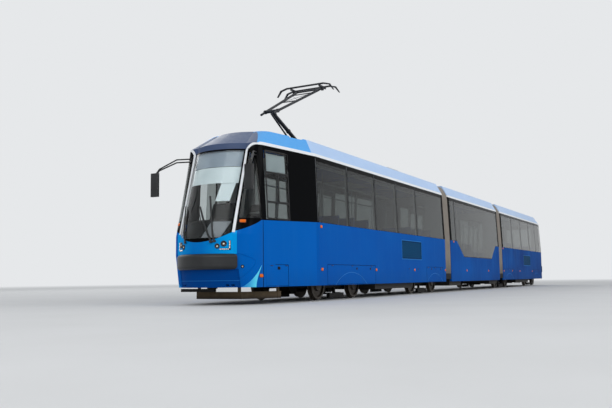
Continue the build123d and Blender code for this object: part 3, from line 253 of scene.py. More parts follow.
# Guard boards: sealed plywood boards ahead of the first bogie, brown with dried road dust and
# darker towards their wet lower edge.
material, add = new_material("dusty_guard_plywood")
place = add("TexCoord", output="Object")
wet = add("MapRange", (add("SeparateXYZ", (place,), "Z"), 0.19, 0.12))
splashes = add("TexNoise", {"Vector": place, "Scale": 9.0, "Detail": 8.0})
colour = layered(add, "#6A5A42", (splashes, "#463724"), (wet, "#2B2116"))
surface(add, colour, 0.85, splashes, 0.002)
dress(["guard_boards"], material)

# Body shells, doors, lids and apron: steel sides with a glass-fibre cab and tail in glossy two-pack
# paint. Blue below the belt and black above it, with a white stripe up each side of the windscreen.
# The third of these blues is a painted highlight on the nose.
cab_blue, side_blue, highlight_blue = "#0062BE", "#0058B2", "#049EEA"
gloss_black, stripe_white, slate = "#08090B", "#EEF1F4", "#4C5A78"


def body_material(name):
    """A new material, with the function that adds its nodes and four values in it: the place, how far back of
    the nose that is, its distance from the centreline and its height."""
    material, add = new_material(name)
    place = add("TexCoord", output="Object")
    along, aside, height = add("SeparateXYZ", (place,), None)
    back = add("Math", (nose_x, along), operation="SUBTRACT")
    return material, add, place, back, add("Math", (aside,), operation="ABSOLUTE"), height


material, add, place, back, half, height = body_material("two_pack_body_paint")
patches = add("TexNoise", {"Vector": place, "Scale": 0.7, "Detail": 3.0})
patch_here = add("MapRange", (patches, 0.35, 0.7, 0.0, 0.55))
# Painted shade: the blue is painted darker from 5 m to 22 m back of the nose.
rear_shade = add("MapRange", (back, 5.0, 22.0))
# Rain runs: noise drawn out twelve times in height, faint at the cab and stronger to the rear.
stretch = add("Mapping", {"Vector": place, "Scale": (7.0, 7.0, 0.6)})
runs = add("TexNoise", {"Vector": stretch, "Scale": 1.0, "Detail": 6.0})
run_spread = add("MapRange", (runs, 0.5, 0.8, 0.0, 0.3))
rearward = add("MapRange", (back, 3.0, 18.0, 0.25, 1.0))
run_here = add("Math", (run_spread, rearward), operation="MULTIPLY")
low_down = add("MapRange", (height, 0.75, 0.34, 0.0, 0.35))
dust_here = add("Math", (low_down, runs), operation="MULTIPLY")
# Between bumper and screen the nose is painted lighter towards its corners, a painted highlight, and the
# apron under the bumper is painted darker, a painted shade, with a painted highlight along its crease.
# A dark seam parts nose and cab.
cornerward = add("MapRange", (half, 0.1, 0.6, 0.25, 1.0))
above_bumper = between(add, (height, 0.97, 1.5), (half, None, 0.70), (back, None, 0.6))
nose_highlight = add("Math", (cornerward, above_bumper), operation="MULTIPLY")
apron_shade = between(add, (height, None, 0.69), (half, None, 0.70), (back, None, 0.95))
crease_highlight = between(add, (height, 0.462, 0.476), (half, None, 0.69), (back, None, 0.95))
seam_here = between(add, (back, 0.893, 0.913), (height, None, 1.64))
blue = layered(add, side_blue, (rear_shade, "#003E86"), (between(add, (back, None, 2.68)), cab_blue),
               (patch_here, "#0060B8"), (run_here, "#2F78BC"), (dust_here, "#173A6C"), (nose_highlight, highlight_blue),
               (apron_shade, "#00438E"), (crease_highlight, "#1E6CBA"), (seam_here, "#06101E"))
on_left = (add("SeparateXYZ", (place,), "Y"), 1.0, None)
# Two louvred hatches of the left side are teal within a light rim: back of each end, low, top.
for start, end, low, top in ((7.74, 9.30, 1.02, 1.50), (23.55, 25.05, 1.00, 1.43)):
    for grow, tone in ((0.036, "#2C7ECB"), (0.012, "#0A3A66"), (-0.02, "#0B4A74")):
        hatch = between(add, (back, start - grow, end + grow), (height, low - grow, top + grow), on_left)
        blue = layered(add, blue, (hatch, tone))
# A dark gap runs round each lid of the left skirt. Over each bogie an arch is pressed in, drawn as a lighter
# line that is a painted highlight. The arch's circle goes through its foot and its crown.
arch_foot = 0.36
lid_rows = [
    # back of each end and top, then the arch's middle, half width and crown
    (0.99, 1.69, 0.77, None, None, None),
    (3.16, 5.83, 0.79, 4.42, 0.83, 0.62),
    (9.74, 11.31, 0.79, 10.52, 0.72, 0.60),
    (19.72, 21.40, 0.79, 20.56, 0.76, 0.60),
    (25.64, 27.29, 0.79, 26.54, 0.83, 0.62),
]
for start, end, top, middle, arch_half, crown in lid_rows:
    outer, inner = (between(add, (back, start - grow, end + grow), (height, None, top + grow), on_left)
                    for grow in (0.009, -0.004))
    blue = layered(add, blue, (add("Math", (outer, inner), operation="SUBTRACT"), "#062C5C"))
    if crown:
        rise = crown - arch_foot
        radius = (arch_half ** 2 + rise ** 2) / (2 * rise)
        spot = add("CombineXYZ", (back, height))
        away = add("VectorMath", (spot, (middle, crown - radius, 0.0)), "Value", operation="DISTANCE")
        # Painted highlight along the pressed arch.
        arch = between(add, (away, radius - 0.003, radius + 0.013), on_left)
        blue = layered(add, blue, (arch, "#3580CA"))
# The cyan crescent low on the cab's corner lies between two curves of back against height: with h the
# height over the curve's foot, each is (square x h + slope) x h + start.
edges = []
for foot, square, slope, start in ((0.347, 0.12, 0.745, 0.502), (0.36, 0.9, 0.0, 0.70)):
    rise = add("Math", (height, foot), operation="SUBTRACT")
    bend = add("Math", (rise, square, slope), operation="MULTIPLY_ADD")
    edges.append(add("Math", (rise, bend, start), operation="MULTIPLY_ADD"))
crescent = between(add, (back, *edges), (height, None, 0.752))
crescent_blue = layered(add, "#1C86D8", (add("MapRange", (back, 0.5, 0.68)), "#62DCFA"))
# Black begins at the belt, which is level along the side and falls to the nose.
nose_fall = add("MapRange", (back, 0.371, 0.848, 1.412, 1.632))
belt_rise = add("MapRange", (back, 0.848, 2.812, 0.0, 0.062))
belt_line = add("Math", (nose_fall, belt_rise), operation="ADD")
black_here = between(add, (height, belt_line, None), (half, 0.66, None))
black_tail = between(add, (height, belt_line, None), (back, 27.9, None))
# Over the quarter pane the stripe turns along an arc of 0.2 m about half 0.83, height 2.97.
from_side = add("Math", (half, 0.83), operation="SUBTRACT")
from_level = add("Math", (height, 2.97), operation="SUBTRACT")
reach = add("VectorMath", (add("CombineXYZ", (from_side, from_level)),), "Value", operation="LENGTH")
corner = (from_side, None, 0.0), (from_level, 0.0, None), (back, None, 1.1)
arc = between(add, *corner, (reach, 0.172, 0.226))
header = between(add, *corner, (reach, 0.2259, None))
stripe = between(add, (half, 0.606, 0.662), (height, 1.385, 2.9701), (back, None, 1.1))
cant_edge = between(add, (height, 3.138, None), (half, 0.8299, None))
roof_deck = between(add, (height, 3.131, None), (half, None, 0.92), (back, 1.75, None))
# Inside, from the cab's rear bulkhead on, walls and ceiling are pale laminate.
wall_lean = add("MapRange", (height, 1.7, 3.18, 1.175, 1.115))
lining = between(add, (back, 2.79, 27.45), (half, None, wall_lean), (height, 0.9, 3.125))
colour = layered(add, blue, (crescent, crescent_blue), (black_here, gloss_black), (black_tail, gloss_black),
                 (header, slate), (stripe, stripe_white), (arc, stripe_white), (cant_edge, stripe_white),
                 (roof_deck, "#8A9095"), (lining, "#B9BCBB"))
orange_peel = add("TexNoise", {"Vector": place, "Scale": 90.0, "Detail": 1.0})
surface(add, colour, add("MapRange", (runs, 0.4, 0.8, 0.28, 0.42)), orange_peel, 0.00008, ior=1.5,
        specular_ior_level=0.0, coat_weight=0.07, coat_roughness=0.08)
dress(["front_body", "cab_nose", "middle_body", "rear_body", "apron", "front_doors", "middle_doors",
       "rear_doors", "lid_cab", "lid_bogie_1", "lid_bogie_2", "lid_bogie_3", "lid_bogie_4"], material)

# Roof fairings: glass-fibre covers bolted along the roof in two-pack paint, slate over the windscreen,
# mid blue over the cab, then pale blue, with a white lower edge that runs on from the stripes.
material, add, place, back, half, height = body_material("two_pack_fairing_paint")
# The slate and the mid blue end on slanting lines, each through one place: slope, its back, its height.
slate_end, cap_end = (add("Math", (height, slope, at_back - slope * at_height), operation="MULTIPLY_ADD")
                      for slope, at_back, at_height in ((1.396, 0.917, 3.185), (0.22, 2.65, 3.227)))
cloud = add("TexNoise", {"Vector": place, "Scale": 1.1, "Detail": 5.0})
colour = layered(add, "#A6C6EE", (cloud, "#BAD3F5"), (between(add, (back, None, cap_end)), "#4CA6EE"),
                 (between(add, (back, None, slate_end)), layered(add, slate, (cloud, "#5F6E8C"))),
                 (between(add, (height, None, 3.205), (half, 0.83, None)), stripe_white))
grime = add("TexNoise", {"Vector": place, "Scale": 14.0, "Detail": 6.0})
surface(add, colour, add("MapRange", (grime, 0.3, 0.7, 0.34, 0.5)), grime, 0.0004, ior=1.5,
        specular_ior_level=0.25, coat_weight=0.1, coat_roughness=0.12)
dress(["front_fairing", "middle_fairing", "rear_fairing"], material)


# Windows: bonded panes of grey-tinted toughened glass, smooth and glossy. Their upper edge and the
# windscreen's rim carry a fired-on black print, and the panes' faces are very slightly wavy.
def tinted_glass(name, code, rims=(), cab_code=None):
    """Glass in a hex tint, black where all the limits of any rim hold: each is what it limits (back, half or
    height), a low and a high. The cab's own side panes may have a paler tint."""
    material, add, place, back, half, height = body_material(name)
    named = {"back": back, "half": half, "height": height}
    printed = 0.0
    for rim in rims:
        here = between(add, *[(named[what], low, high) for what, low, high in rim])
        printed = add("Math", (here, printed), operation="MAXIMUM")
    waves = add("TexNoise", {"Vector": place, "Scale": 1.6, "Detail": 1.0})
    bump = add("Bump", {"Height": waves, "Distance": 0.004})
    clear = add("Math", (1.0, printed), operation="SUBTRACT")
    tint = layered(add, code, (between(add, (back, None, 1.76)), cab_code or code))
    colour = layered(add, tint, (printed, "#060607"))
    shader = add("BsdfPrincipled", {"Base Color": colour, "Roughness": 0.03, "IOR": 1.22,
                                    "Specular IOR Level": 0.10, "Transmission Weight": clear,
                                    "Normal": bump})
    # Lamps light what is behind the clear part.
    film = add("BsdfTransparent", {"Color": tint})
    lets_by = add("Math", (add("LightPath", output="Is Shadow Ray"), clear), operation="MULTIPLY")
    add("OutputMaterial", (add("MixShader", (lets_by, shader, film)),), None)
    return material


dress(["windscreen"], tinted_glass("laminated_screen_glass", "#EEF2F2", [
    [("half", 0.585, None), ("back", None, 1.0)], [("height", None, 1.275)], [("height", 3.03, None)]]))
dress(["quarter_panes"], tinted_glass("tinted_quarter_glass", "#9AA09F", [
    [("half", None, 0.69)], [("back", 0.845, None)], [("height", None, 1.66)], [("height", 2.98, None)]]))
dress(["front_glass", "middle_glass", "rear_glass"], tinted_glass("tinted_side_glass", "#8F9594", [
    [("height", 3.035, None)], [("height", None, 1.195)]], cab_code="#C8CDCD"))

# Bumpers, mirrors, wipers and desk: moulded black plastic. The bumpers have a soft rubbery sheen and
# a fine moulded grain that holds a little pale dust.
black_plastic = grained_material("moulded_black_plastic", "#131416", "#26282A", 0.35, 0.003, 0.42, 0.0003,
                                 specular_ior_level=0.4)
dress(["bumper", "rear_bumper", "mirrors", "wipers", "cab_desk"], black_plastic)


# Wiper caps and blades: moulded plastic caps pushed on the wiper pivots, and rubber blades that lie on
# the glass beside the flat steel arms.
upwards, sideways, lengthways = (0, 0, 1.0), (0, 1.0, 0), (1.0, 0, 0)


def unit(vectors):
    """Vectors brought to a length of 1."""
    return vectors / np.linalg.norm(vectors, axis=-1, keepdims=True)


def rounded_outline(sides, power):
    """Points round the outline |u|^power + |v|^power = 1, at even angles, as their u and their v."""
    angle = np.linspace(0, 2 * np.pi, sides, endpoint=False)
    return [np.sign(c) * np.abs(c) ** (2 / power) for c in (np.cos(angle), np.sin(angle))]


def swept(path, across, outward, width, thick, sides=12, power=4.0):
    """A closed bar: a rounded outline, `width` along `across` and `thick` along `outward`, is carried along
    the path, and each end closes on its own middle."""
    path = np.asarray(path, float)
    u, v = rounded_outline(sides, power)
    across, outward = (np.broadcast_to(a, path.shape) for a in (across, outward))
    width = np.broadcast_to(width, len(path))[:, None, None]
    rings = (path[:, None] + 0.5 * width * u[None, :, None] * across[:, None]
             + 0.5 * thick * v[None, :, None] * outward[:, None])
    first, last = (np.repeat(path[[end]], sides, axis=0)[None] for end in (0, -1))
    return np.concatenate([first, rings, last])


def turned(profile, centre, axis, turns=24):
    """A turned form: each profile row is a radius and a rise along the axis from the centre."""
    axis = unit(axis)
    side = unit(np.cross(axis, upwards if abs(axis[2]) < 0.9 else lengthways))
    angle = np.linspace(0, 2 * np.pi, turns, endpoint=False)[:, None]
    circle = np.cos(angle) * side + np.sin(angle) * np.cross(axis, side)
    radius, rise = np.transpose(profile)
    return centre + radius[:, None, None] * circle + rise[:, None, None] * axis


def domed(centre, outward, width, tall, proud, power=4.0, sides=20):
    """A domed lens: rings of a rounded outline, shrunk by cos t and raised by proud x sin t for t up to a
    right angle, over a back that lies 5 mm inside the surface."""
    outward = unit(outward)
    across = unit(np.cross(upwards, outward))
    u, v = rounded_outline(sides, power)
    t = np.linspace(0, np.pi / 2, 6)
    shrink = np.concatenate([[0, 1], np.cos(t)])[:, None, None]
    lift = np.concatenate([[-0.005, -0.005], proud * np.sin(t)])[:, None, None]
    flat = 0.5 * width * u[:, None] * across + 0.5 * tall * v[:, None] * np.cross(outward, across)
    return centre + shrink * flat + lift * outward


def add_piece(name, body, material, grids, sharp=35):
    """One object from closed grids whose columns wrap round: doubles are merged, faces turned outwards, and
    edges sharper than `sharp` degrees kept crisp. It rides on a body."""
    mesh = grid_mesh(name, grids, wraps=True)
    shape = bmesh.new()
    shape.from_mesh(mesh)
    bmesh.ops.remove_doubles(shape, verts=shape.verts, dist=1e-5)
    bmesh.ops.dissolve_degenerate(shape, edges=shape.edges, dist=1e-6)
    bmesh.ops.recalc_face_normals(shape, faces=shape.faces)
    shape.to_mesh(mesh)
    shape.free()
    mesh.shade_smooth()
    mesh.set_sharp_from_angle(angle=math.radians(sharp))
    mesh.materials.append(material)
    piece = new_object(name, mesh)
    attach(piece, body)
    return piece


skins = {}


def on_skin(node, spots, toward=None):
    """For each spot, the nearest place on a CAD node's surface and the direction out of it, or the first
    place that a ray from the spot meets."""
    if node not in skins:
        mesh = nodes[node].data
        skins[node] = BVHTree.FromPolygons([v.co for v in mesh.vertices], [p.vertices for p in mesh.polygons])
    found = [skins[node].find_nearest(Vector(spot)) if toward is None else
             skins[node].ray_cast(Vector(spot), Vector(toward)) for spot in spots]
    return np.array([f[0] for f in found]), np.array([f[1] for f in found])


def domes_on(node, spots, width, tall, proud, power, lift=0.0):
    """Domed forms of one size on a CAD node's surface at the given spots, lifted off it by a distance."""
    return [domed(middle + lift * out, out, width, tall, proud, power)
            for middle, out in zip(*on_skin(node, spots))]


def from_back(back, half, height):
    """A place, or a row of them, by the distance back, the side of the centreline and the height."""
    return np.stack(np.broadcast_arrays(nose_x - np.asarray(back), half, height), axis=-1)


wiper_rows = [
    # half and height of the pivot, half and height of the arm's upper end
    (0.300, 1.205, -0.060, 1.900),
    (-0.330, 1.210, -0.560, 1.950),
]
cap_outline = [(0, -0.004), (0.026, -0.004), (0.026, 0.006), (0.020, 0.014), (0, 0.016)]
wiper_caps, wiper_blades = [], []
for half, low, top_half, top in wiper_rows:
    pivot, out = on_skin("wipers", [from_back(0.05, half, low)])
    wiper_caps.append(turned(cap_outline, pivot[0], out[0]))
    # The blade lies beside the upper part of its arm, 45 mm to the tram's right and 8 mm off the glass.
    share = np.linspace(0.42, 1.0, 14)
    beside_arm = from_back(0.0, half + share * (top_half - half) - 0.045, low + share * (top - low))
    line, out = on_skin("windscreen", beside_arm)
    line = line + 0.008 * out
    run = unit(np.gradient(line, axis=0))
    wiper_blades.append(swept(line, np.cross(run, out), out, 0.014, 0.016))
add_piece("wiper_caps", "front_car", black_plastic, wiper_caps)
blade_rubber = grained_material("wiper_blade_rubber", "#0E0E0F", "#1C1C1D", 0.05, 0.002, 0.6)
add_piece("wiper_blades", "front_car", blade_rubber, wiper_blades)

# Mirror glasses: slightly bulging silvered panes, one each side, set in the rear faces of the moulded
# mirror housings.
mirror_silver = grained_material("silvered_mirror_glass", "#C4CBD0", "#B4BCC2", 0.3, 0.01, 0.04, 0.00001,
                                 metallic=1.0)
add_piece("mirror_glasses", "front_car", mirror_silver,
          [domed(from_back(0.1875, half, 2.385), (-1, 0, 0), 0.150, 0.400, 0.006, power=8)
           for half in (1.120, -1.120)])

# Lamp clusters: two round lamps and an angled row of light-emitting diodes each side, set in black
# bowls behind clear polycarbonate, with turned black bezels.
headlamp_rows = [(0.500, 1.165, 0.046), (0.395, 1.120, 0.038)]
tail_rows = [(0.560, 1.180, 0.050), (0.560, 1.040, 0.050)]


def lamp_bowls(name, rows, bulb_glint_colour, rim_colour):
    """A reflector material: painted reflections in light and dark rings round each lamp's middle, a painted
    glint in the bulb's colour inside a third of its radius, and the rim's colour outside it."""
    material, add, place, back, half, height = body_material(name)
    from_ahead = add("CombineXYZ", (half, height))
    colour = rim_colour
    for middle_half, middle_height, radius in rows:
        reach = add("VectorMath", (from_ahead, (middle_half, middle_height, 0.0)), "Value",
                    operation="DISTANCE")
        # Painted reflection: light and dark rings on the reflector, with a painted glint at the bulb.
        ring = add("Math", (add("Math", (reach, 900.0), operation="MULTIPLY"),), operation="SINE")
        bowl = layered(add, "#101318", (add("MapRange", (ring, -1.0, 1.0)), "#39414B"),
                       (between(add, (reach, None, radius * 0.30)), bulb_glint_colour))
        colour = layered(add, colour, (between(add, (reach, None, radius * 0.82)), bowl))
    shader = add("BsdfPrincipled", {"Base Color": colour, "Roughness": 0.18, "Metallic": 0.35})
    add("OutputMaterial", (shader,), None)
    return material


dress(["headlamps"], lamp_bowls("headlamp_reflector_bowls", headlamp_rows, "#FFF1DA", "#0D0E10"))
dress(["tail_lamps"], lamp_bowls("tail_lamp_bowls", tail_rows, "#FF5A3C", "#7A0E0A"))
clear_lens = tinted_glass("clear_polycarbonate", "#EDF2F4")
red_lens = tinted_glass("red_polycarbonate", "#E0241A")
# The bezel's outline rises, rounds over and falls inwards to the lens: beyond the lamp's radius, and rise.
bezel_outline = [(0.011, -0.006), (0.011, 0.003), (0.007, 0.007), (0.001, 0.007), (-0.003, 0.003),
                 (-0.003, -0.006), (0.011, -0.006)]
lamp_kinds = [
    # label, body, rows, back of a place outside the body, the way from there to the lamps, lens
    ("headlamp", "front_car", headlamp_rows, -0.2, (-1, 0, 0), clear_lens),
    ("tail_lamp", "rear_car", tail_rows, 28.6, (1, 0, 0), red_lens),
]
for label, body, rows, outside, inwards, lens in lamp_kinds:
    rings, lenses = [], []
    for half, height, radius in rows:
        for place, out in zip(*on_skin(label + "s", from_back(outside, (half, -half), height), inwards)):
            rings.append(turned([(radius + beyond, rise) for beyond, rise in bezel_outline], place, out, 32))
            lenses.append(domed(place, out, 2 * radius - 0.008, 2 * radius - 0.008, 0.010, power=2))
    add_piece(label + "_bezels", body, black_plastic, rings)
    add_piece(label + "_lenses", body, lens, lenses)
diode_glass = grained_material("diode_epoxy_lens", "#FFF0D8", "#FFFFFF", 0.02, 0.004, 0.15, 0.00002,
                               emission_color=linear("#FFF1DC"), emission_strength=0.35)
diode_pitch = 0.030
diode_spots = [(0.590, height) for height in np.arange(1.088, 1.222, diode_pitch)]
diode_spots += [(half, 1.062) for half in np.arange(0.448, 0.590, diode_pitch)]
middles, outs = on_skin("headlamps", [from_back(-0.2, side * half, height) for half, height in diode_spots
                                      for side in (1, -1)], (-1, 0, 0))
add_piece("diode_rows", "front_car", diode_glass,
          [domed(m, o, 0.022, 0.022, 0.011, power=2, sides=10) for m, o in zip(middles, outs)])

# Side markers: amber polycarbonate lenses snapped on black bases along the skirt, the belt and the
# cab's corners.
amber_lens = grained_material("amber_polycarbonate", "#E86400", "#F27408", 0.03, 0.003, 0.2,
                              specular_ior_level=0.2)
marker_rows = [
    # name, body, CAD node, width, (back, half, height) of each
    ("front_markers", "front_car", "front_body", 0.092,
     [(2.907, 1.2, 0.685), (5.890, 1.2, 0.690), (8.694, 1.2, 0.700), (11.550, 1.2, 0.705),
      (2.885, 1.2, 1.607), (2.907, -1.2, 0.685), (5.890, -1.2, 0.690), (11.550, -1.2, 0.705),
      (2.885, -1.2, 1.607)]),
    ("corner_markers", "front_car", "cab_nose", 0.12, [(0.826, 0.955, 0.557), (0.826, -0.955, 0.557)]),
    ("pane_markers", "front_car", "quarter_panes", 0.12, [(0.468, 0.766, 1.600), (0.468, -0.766, 1.600)]),
    ("middle_markers", "middle_car", "middle_body", 0.092,
     [(14.021, 1.2, 0.705), (16.987, 1.2, 0.705), (12.554, 1.2, 1.660), (13.900, -1.2, 0.705),
      (16.987, -1.2, 0.705), (12.554, -1.2, 1.660)]),
    ("rear_markers", "rear_car", "rear_body", 0.092,
     [(19.560, 1.2, 0.710), (22.642, 1.2, 0.710), (25.420, 1.2, 0.710), (19.500, 1.2, 1.650),
      (19.560, -1.2, 0.710), (22.400, -1.2, 0.710), (25.420, -1.2, 0.710), (19.500, -1.2, 1.650)]),
    ("lid_marker", "lid_bogie_3", "lid_bogie_3", 0.092, [(21.122, 1.2, 0.717)]),
]
for name, body, node, width, places in marker_rows:
    spots = from_back(*zip(*places))
    add_piece(name, body, amber_lens, domes_on(node, spots, width, 0.062, 0.014, 5))
    add_piece(name.replace("marker", "marker_base"), body, black_plastic,
              domes_on(node, spots, width + 0.014, 0.074, 0.006, 6))

# Lid locks and hinges: pressed black key cups in the lids, the cheeks and the skirt, and steel hinge
# knuckles along the lids' upper edges.
hinge_steel = grained_material("painted_steel_hinges", "#0A2144", "#12335F", 0.04, 0.002, 0.4,
                               specular_ior_level=0.2)
cup_black = grained_material("black_key_cups", "#050506", "#0C0C0D", 0.04, 0.002, 0.5,
                             specular_ior_level=0.1)
key_steel = grained_material("nickel_plated_keys", "#B4B8BC", "#CDD0D3", 0.02, 0.002, 0.3, metallic=1.0)
lock_rows = [
    # lid, backs and height of the locks, width, backs of the hinges, their height
    ("lid_cab", (1.350,), 0.704, 0.062, (1.123, 1.600), 0.752),
    ("lid_bogie_1", (4.706, 5.512), 0.712, 0.050, (3.400, 4.443, 5.600), 0.772),
    ("lid_bogie_2", (10.183, 11.059), 0.735, 0.050, (9.900, 10.520, 11.150), 0.772),
    ("lid_bogie_3", (20.050, 21.200), 0.735, 0.050, (19.900, 20.560, 21.250), 0.772),
    ("lid_bogie_4", (26.000, 27.050), 0.735, 0.050, (25.900, 26.540, 27.200), 0.772),
]
# A spot is given a little beyond the side, so that the nearest place is on the side's skin.
past_side = 1.3
for lid, backs, lock_height, width, hinge_backs, hinge_height in lock_rows:
    add_piece(lid + "_locks", lid, cup_black,
              domes_on(lid, from_back(backs, past_side, lock_height), 1.4 * width, width, 0.006, 6))
    knuckles = []
    for middle, out in zip(*on_skin(lid, from_back(hinge_backs, past_side, hinge_height))):
        run = np.cross(out, upwards)
        knuckles.append(swept([middle + reach * run for reach in (-0.045, -0.04, 0.04, 0.045)], upwards, out,
                              [0.010, 0.016, 0.016, 0.010], 0.014, power=2))
    add_piece(lid + "_hinges", lid, hinge_steel, knuckles)
cheeks = from_back(0.454, (0.766, -0.766), 0.733)
skirt_spots = from_back((8.240, 8.983), 1.2, 0.730)
add_piece("cheek_locks", "front_car", cup_black,
          domes_on("cab_nose", cheeks, 0.068, 0.068, 0.007, 2))
add_piece("cheek_lock_keys", "front_car", key_steel,
          domes_on("cab_nose", cheeks, 0.030, 0.030, 0.005, 2, lift=0.006))
add_piece("skirt_locks", "front_car", cup_black,
          domes_on("front_body", skirt_spots, 0.046, 0.046, 0.006, 2))

# Pane joints: grey sealant drawn between neighbouring bonded panes, which stands a little proud of the
# black pillars behind it.
sealant = grained_material("grey_window_sealant", "#4C4F52", "#6A6D70", 0.2, 0.003, 0.6, 0.0002)
joint_rows = [
    # section, backs on the left side, backs on the right side
    ("front", (2.740, 4.335, 5.965, 7.465, 9.015), (3.270, 4.935, 8.235, 9.795)),
    ("middle", (12.845, 18.225), (12.845, 14.660, 16.340, 18.225)),
    ("rear", (21.365, 23.205, 25.045, 26.535, 27.500), (21.035, 22.725, 24.355, 25.445, 26.535, 27.500)),
]
for section, left, right in joint_rows:
    strips = []
    for half, backs in ((1.25, left), (-1.25, right)):
        for back in backs:
            line, out = on_skin(section + "_body", from_back(back, half, (1.715, 2.2, 2.7, 3.115)))
            strips.append(swept(line, lengthways, out, 0.014, 0.006))
    add_piece(section + "_pane_joints", section + "_car", sealant, strips)

# Driver's window frame: a black anodised frame with two rails and a mullion between them, set on the
# pane so that its middle part slides.
frame_finish = grained_material("black_anodised_frame", "#0B0C0D", "#1A1B1D", 0.3, 0.003, 0.35, metallic=0.6)
bar_rows = [
    # back and height of the first end, back and height of the other end, width
    (1.03, 2.610, 1.74, 2.610, 0.040),
    (1.03, 2.020, 1.74, 2.020, 0.046),
    (1.417, 2.02, 1.417, 2.61, 0.040),
    (1.03, 1.675, 1.03, 3.055, 0.034),
    (1.74, 1.675, 1.74, 3.055, 0.034),
    (1.03, 1.680, 1.74, 1.680, 0.034),
    (1.03, 3.050, 1.74, 3.050, 0.034),
]
frame_bars = []
for start, low, end, top, width in bar_rows:
    line, out = on_skin("front_glass", from_back(np.linspace(start, end, 8), 1.15, np.linspace(low, top, 8)))
    frame_bars.append(swept(line, np.cross(unit(line[-1] - line[0]), out), out, width, 0.012))
add_piece("driver_window_frame", "front_car", frame_finish, frame_bars)

# Behind the windscreen: the grey destination box, a pulled-down pale sun blind, a second blind before
# the driver, and the cover over the dash. Each follows the screen's curve at its own depth.
screen_heights = [0.34, 0.98, 1.35, 1.70, 3.18]
screen_tips, screen_edges = [0.23, 0.06, 0.08, 0.19, 0.64], [0.49, 0.34, 0.33, 0.43, 0.86]
screen_halves = [0.670, 0.640, 0.622, 0.617, 0.598]


def behind_screen(low, high, half_from, half_to, inset_low, inset_high, thick=0.006, slant=0.0):
    """A thin sheet behind the screen. At each height the screen is an arc through its tip and its edges, of
    radius (h^2 + d^2) / 2d for half width h and depth d, and the sheet lies an inset behind it. Its upper
    edge is shifted sideways by the slant."""
    share = np.linspace(0, 1, 25)
    sheet = []
    for height, inset, shift in ((low, inset_low, 0.0), (high, inset_high, slant)):
        half = half_from + share * (half_to - half_from) + shift
        tip, edge, wide = (np.interp(height, screen_heights, row)
                           for row in (screen_tips, screen_edges, screen_halves))
        radius = (wide ** 2 + (edge - tip) ** 2) / (2 * (edge - tip))
        back = tip + radius - np.sqrt(radius ** 2 - half ** 2) + inset
        for deeper in (0.0, thick):
            sheet.append(np.stack([nose_x - back - deeper, half, np.full_like(half, height)], axis=-1))
    near_low, far_low, near_high, far_high = sheet
    grid = np.stack([near_low, near_high, far_high, far_low], axis=1)
    first, last = (np.repeat(grid[end].mean(axis=0)[None], 4, axis=0)[None] for end in (0, -1))
    return np.concatenate([first, grid, last])


box_grey = grained_material("grey_destination_box", "#8893A0", "#9BA6B3", 0.3, 0.004, 0.5, 0.0002)
add_piece("destination_box", "front_car", box_grey,
          [behind_screen(2.70, 3.035, -0.56, 0.56, 0.05, 0.05)])
blind_film = grained_material("pale_polyester_blind_film", "#CBD6DA", "#DCE5E8", 0.4, 0.0015, 0.6)
add_piece("sun_blinds", "front_car", blind_film,
          [behind_screen(2.36, 2.69, -0.57, 0.57, 0.045, 0.045),
           behind_screen(2.00, 2.36, 0.20, 0.46, 0.06, 0.06, slant=0.06)])
line, out = on_skin("front_glass", from_back(np.linspace(1.07, 1.70, 8), 1.2, 2.83))
add_piece("driver_window_blind", "front_car", blind_film,
          [swept(line - 0.045 * out, np.cross(out, lengthways), out, 0.36, 0.004, power=12)])
dash_black = grained_material("dash_cover_vinyl", "#0A0B0C", "#131416", 0.2, 0.003, 0.7, 0.0003,
                              specular_ior_level=0.15)
add_piece("dash_cover", "front_car", dash_black,
          [behind_screen(1.24, 1.62, -0.57, 0.57, 0.03, 0.16),
           behind_screen(1.62, 1.66, -0.57, 0.57, 0.16, 0.30),
           behind_screen(1.66, 1.98, -0.02, 0.46, 0.30, 0.34, thick=0.12)])
tray_grey = grained_material("dash_tray_grey", "#6C7076", "#7C8086", 0.2, 0.003, 0.5, 0.0002)
add_piece("dash_tray", "front_car", tray_grey,
          [behind_screen(1.285, 1.60, 0.06, 0.42, 0.025, 0.12, slant=0.10)])

# Driver's seat: foam pads under woven cloth on a sprung pedestal that a black rubber gaiter covers. The
# weave is drawn at 2 mm so that it shows.
seat_cloth = grained_material("woven_driver_seat_cloth", "#1B1D22", "#2B2E35", 0.15, 0.002, 0.9, 0.0004,
                              sheen_weight=0.3)


def cushion(centre, run, size, channels):
    """A stuffed pad: the outline |u|^4 + |v|^4 = 1, pulled in by a twentieth between its corners, is shrunk
    by the root of cos t and raised by sin t for t from -90 to 90 degrees. Each sewn channel presses the
    cover in by 9 mm x exp(-(distance / 12 mm)^2)."""
    run = unit(run)
    pull = 1 - 0.05 * np.cos(2 * np.linspace(0, 2 * np.pi, 64, endpoint=False)) ** 2
    u, v = (pull * row for row in rounded_outline(64, 4.0))
    t = np.linspace(-np.pi / 2, np.pi / 2, 33)[:, None]
    shrink = np.sqrt(np.clip(np.cos(t), 0, 1))
    along, aside = size[0] * shrink * u, size[1] * shrink * v
    pressed = sum(0.009 * np.exp(-((along - channel) / 0.012) ** 2) for channel in channels)
    rise = np.sin(t) * (size[2] - pressed)
    return (centre + along[..., None] * run + aside[..., None] * np.array(sideways)
            + rise[..., None] * np.cross(run, sideways))


lean = (-0.150, 0.0, 0.770)
pads = [cushion(from_back(1.400, 0.21, 1.372), (1.0, 0, 0.04), (0.235, 0.235, 0.060), (-0.07, 0.07)),
        cushion(from_back(1.725, 0.21, 1.640), lean, (0.245, 0.225, 0.050), (-0.10, 0.0, 0.10)),
        cushion(from_back(1.790, 0.21, 1.975), lean, (0.085, 0.130, 0.042), ())]
driver_pads = add_piece("driver_seat_pads", "front_car", seat_cloth, pads, sharp=80)
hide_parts("driver_seat")
folds = 29
gaiter = swept(from_back(1.44, 0.22, np.linspace(0.945, 1.318, folds)), lengthways, sideways,
               0.225 + 0.015 * np.cos(np.pi / 2 * np.arange(folds)), 0.22, sides=40)
add_piece("driver_seat_gaiter", "front_car", chassis_black, [gaiter])

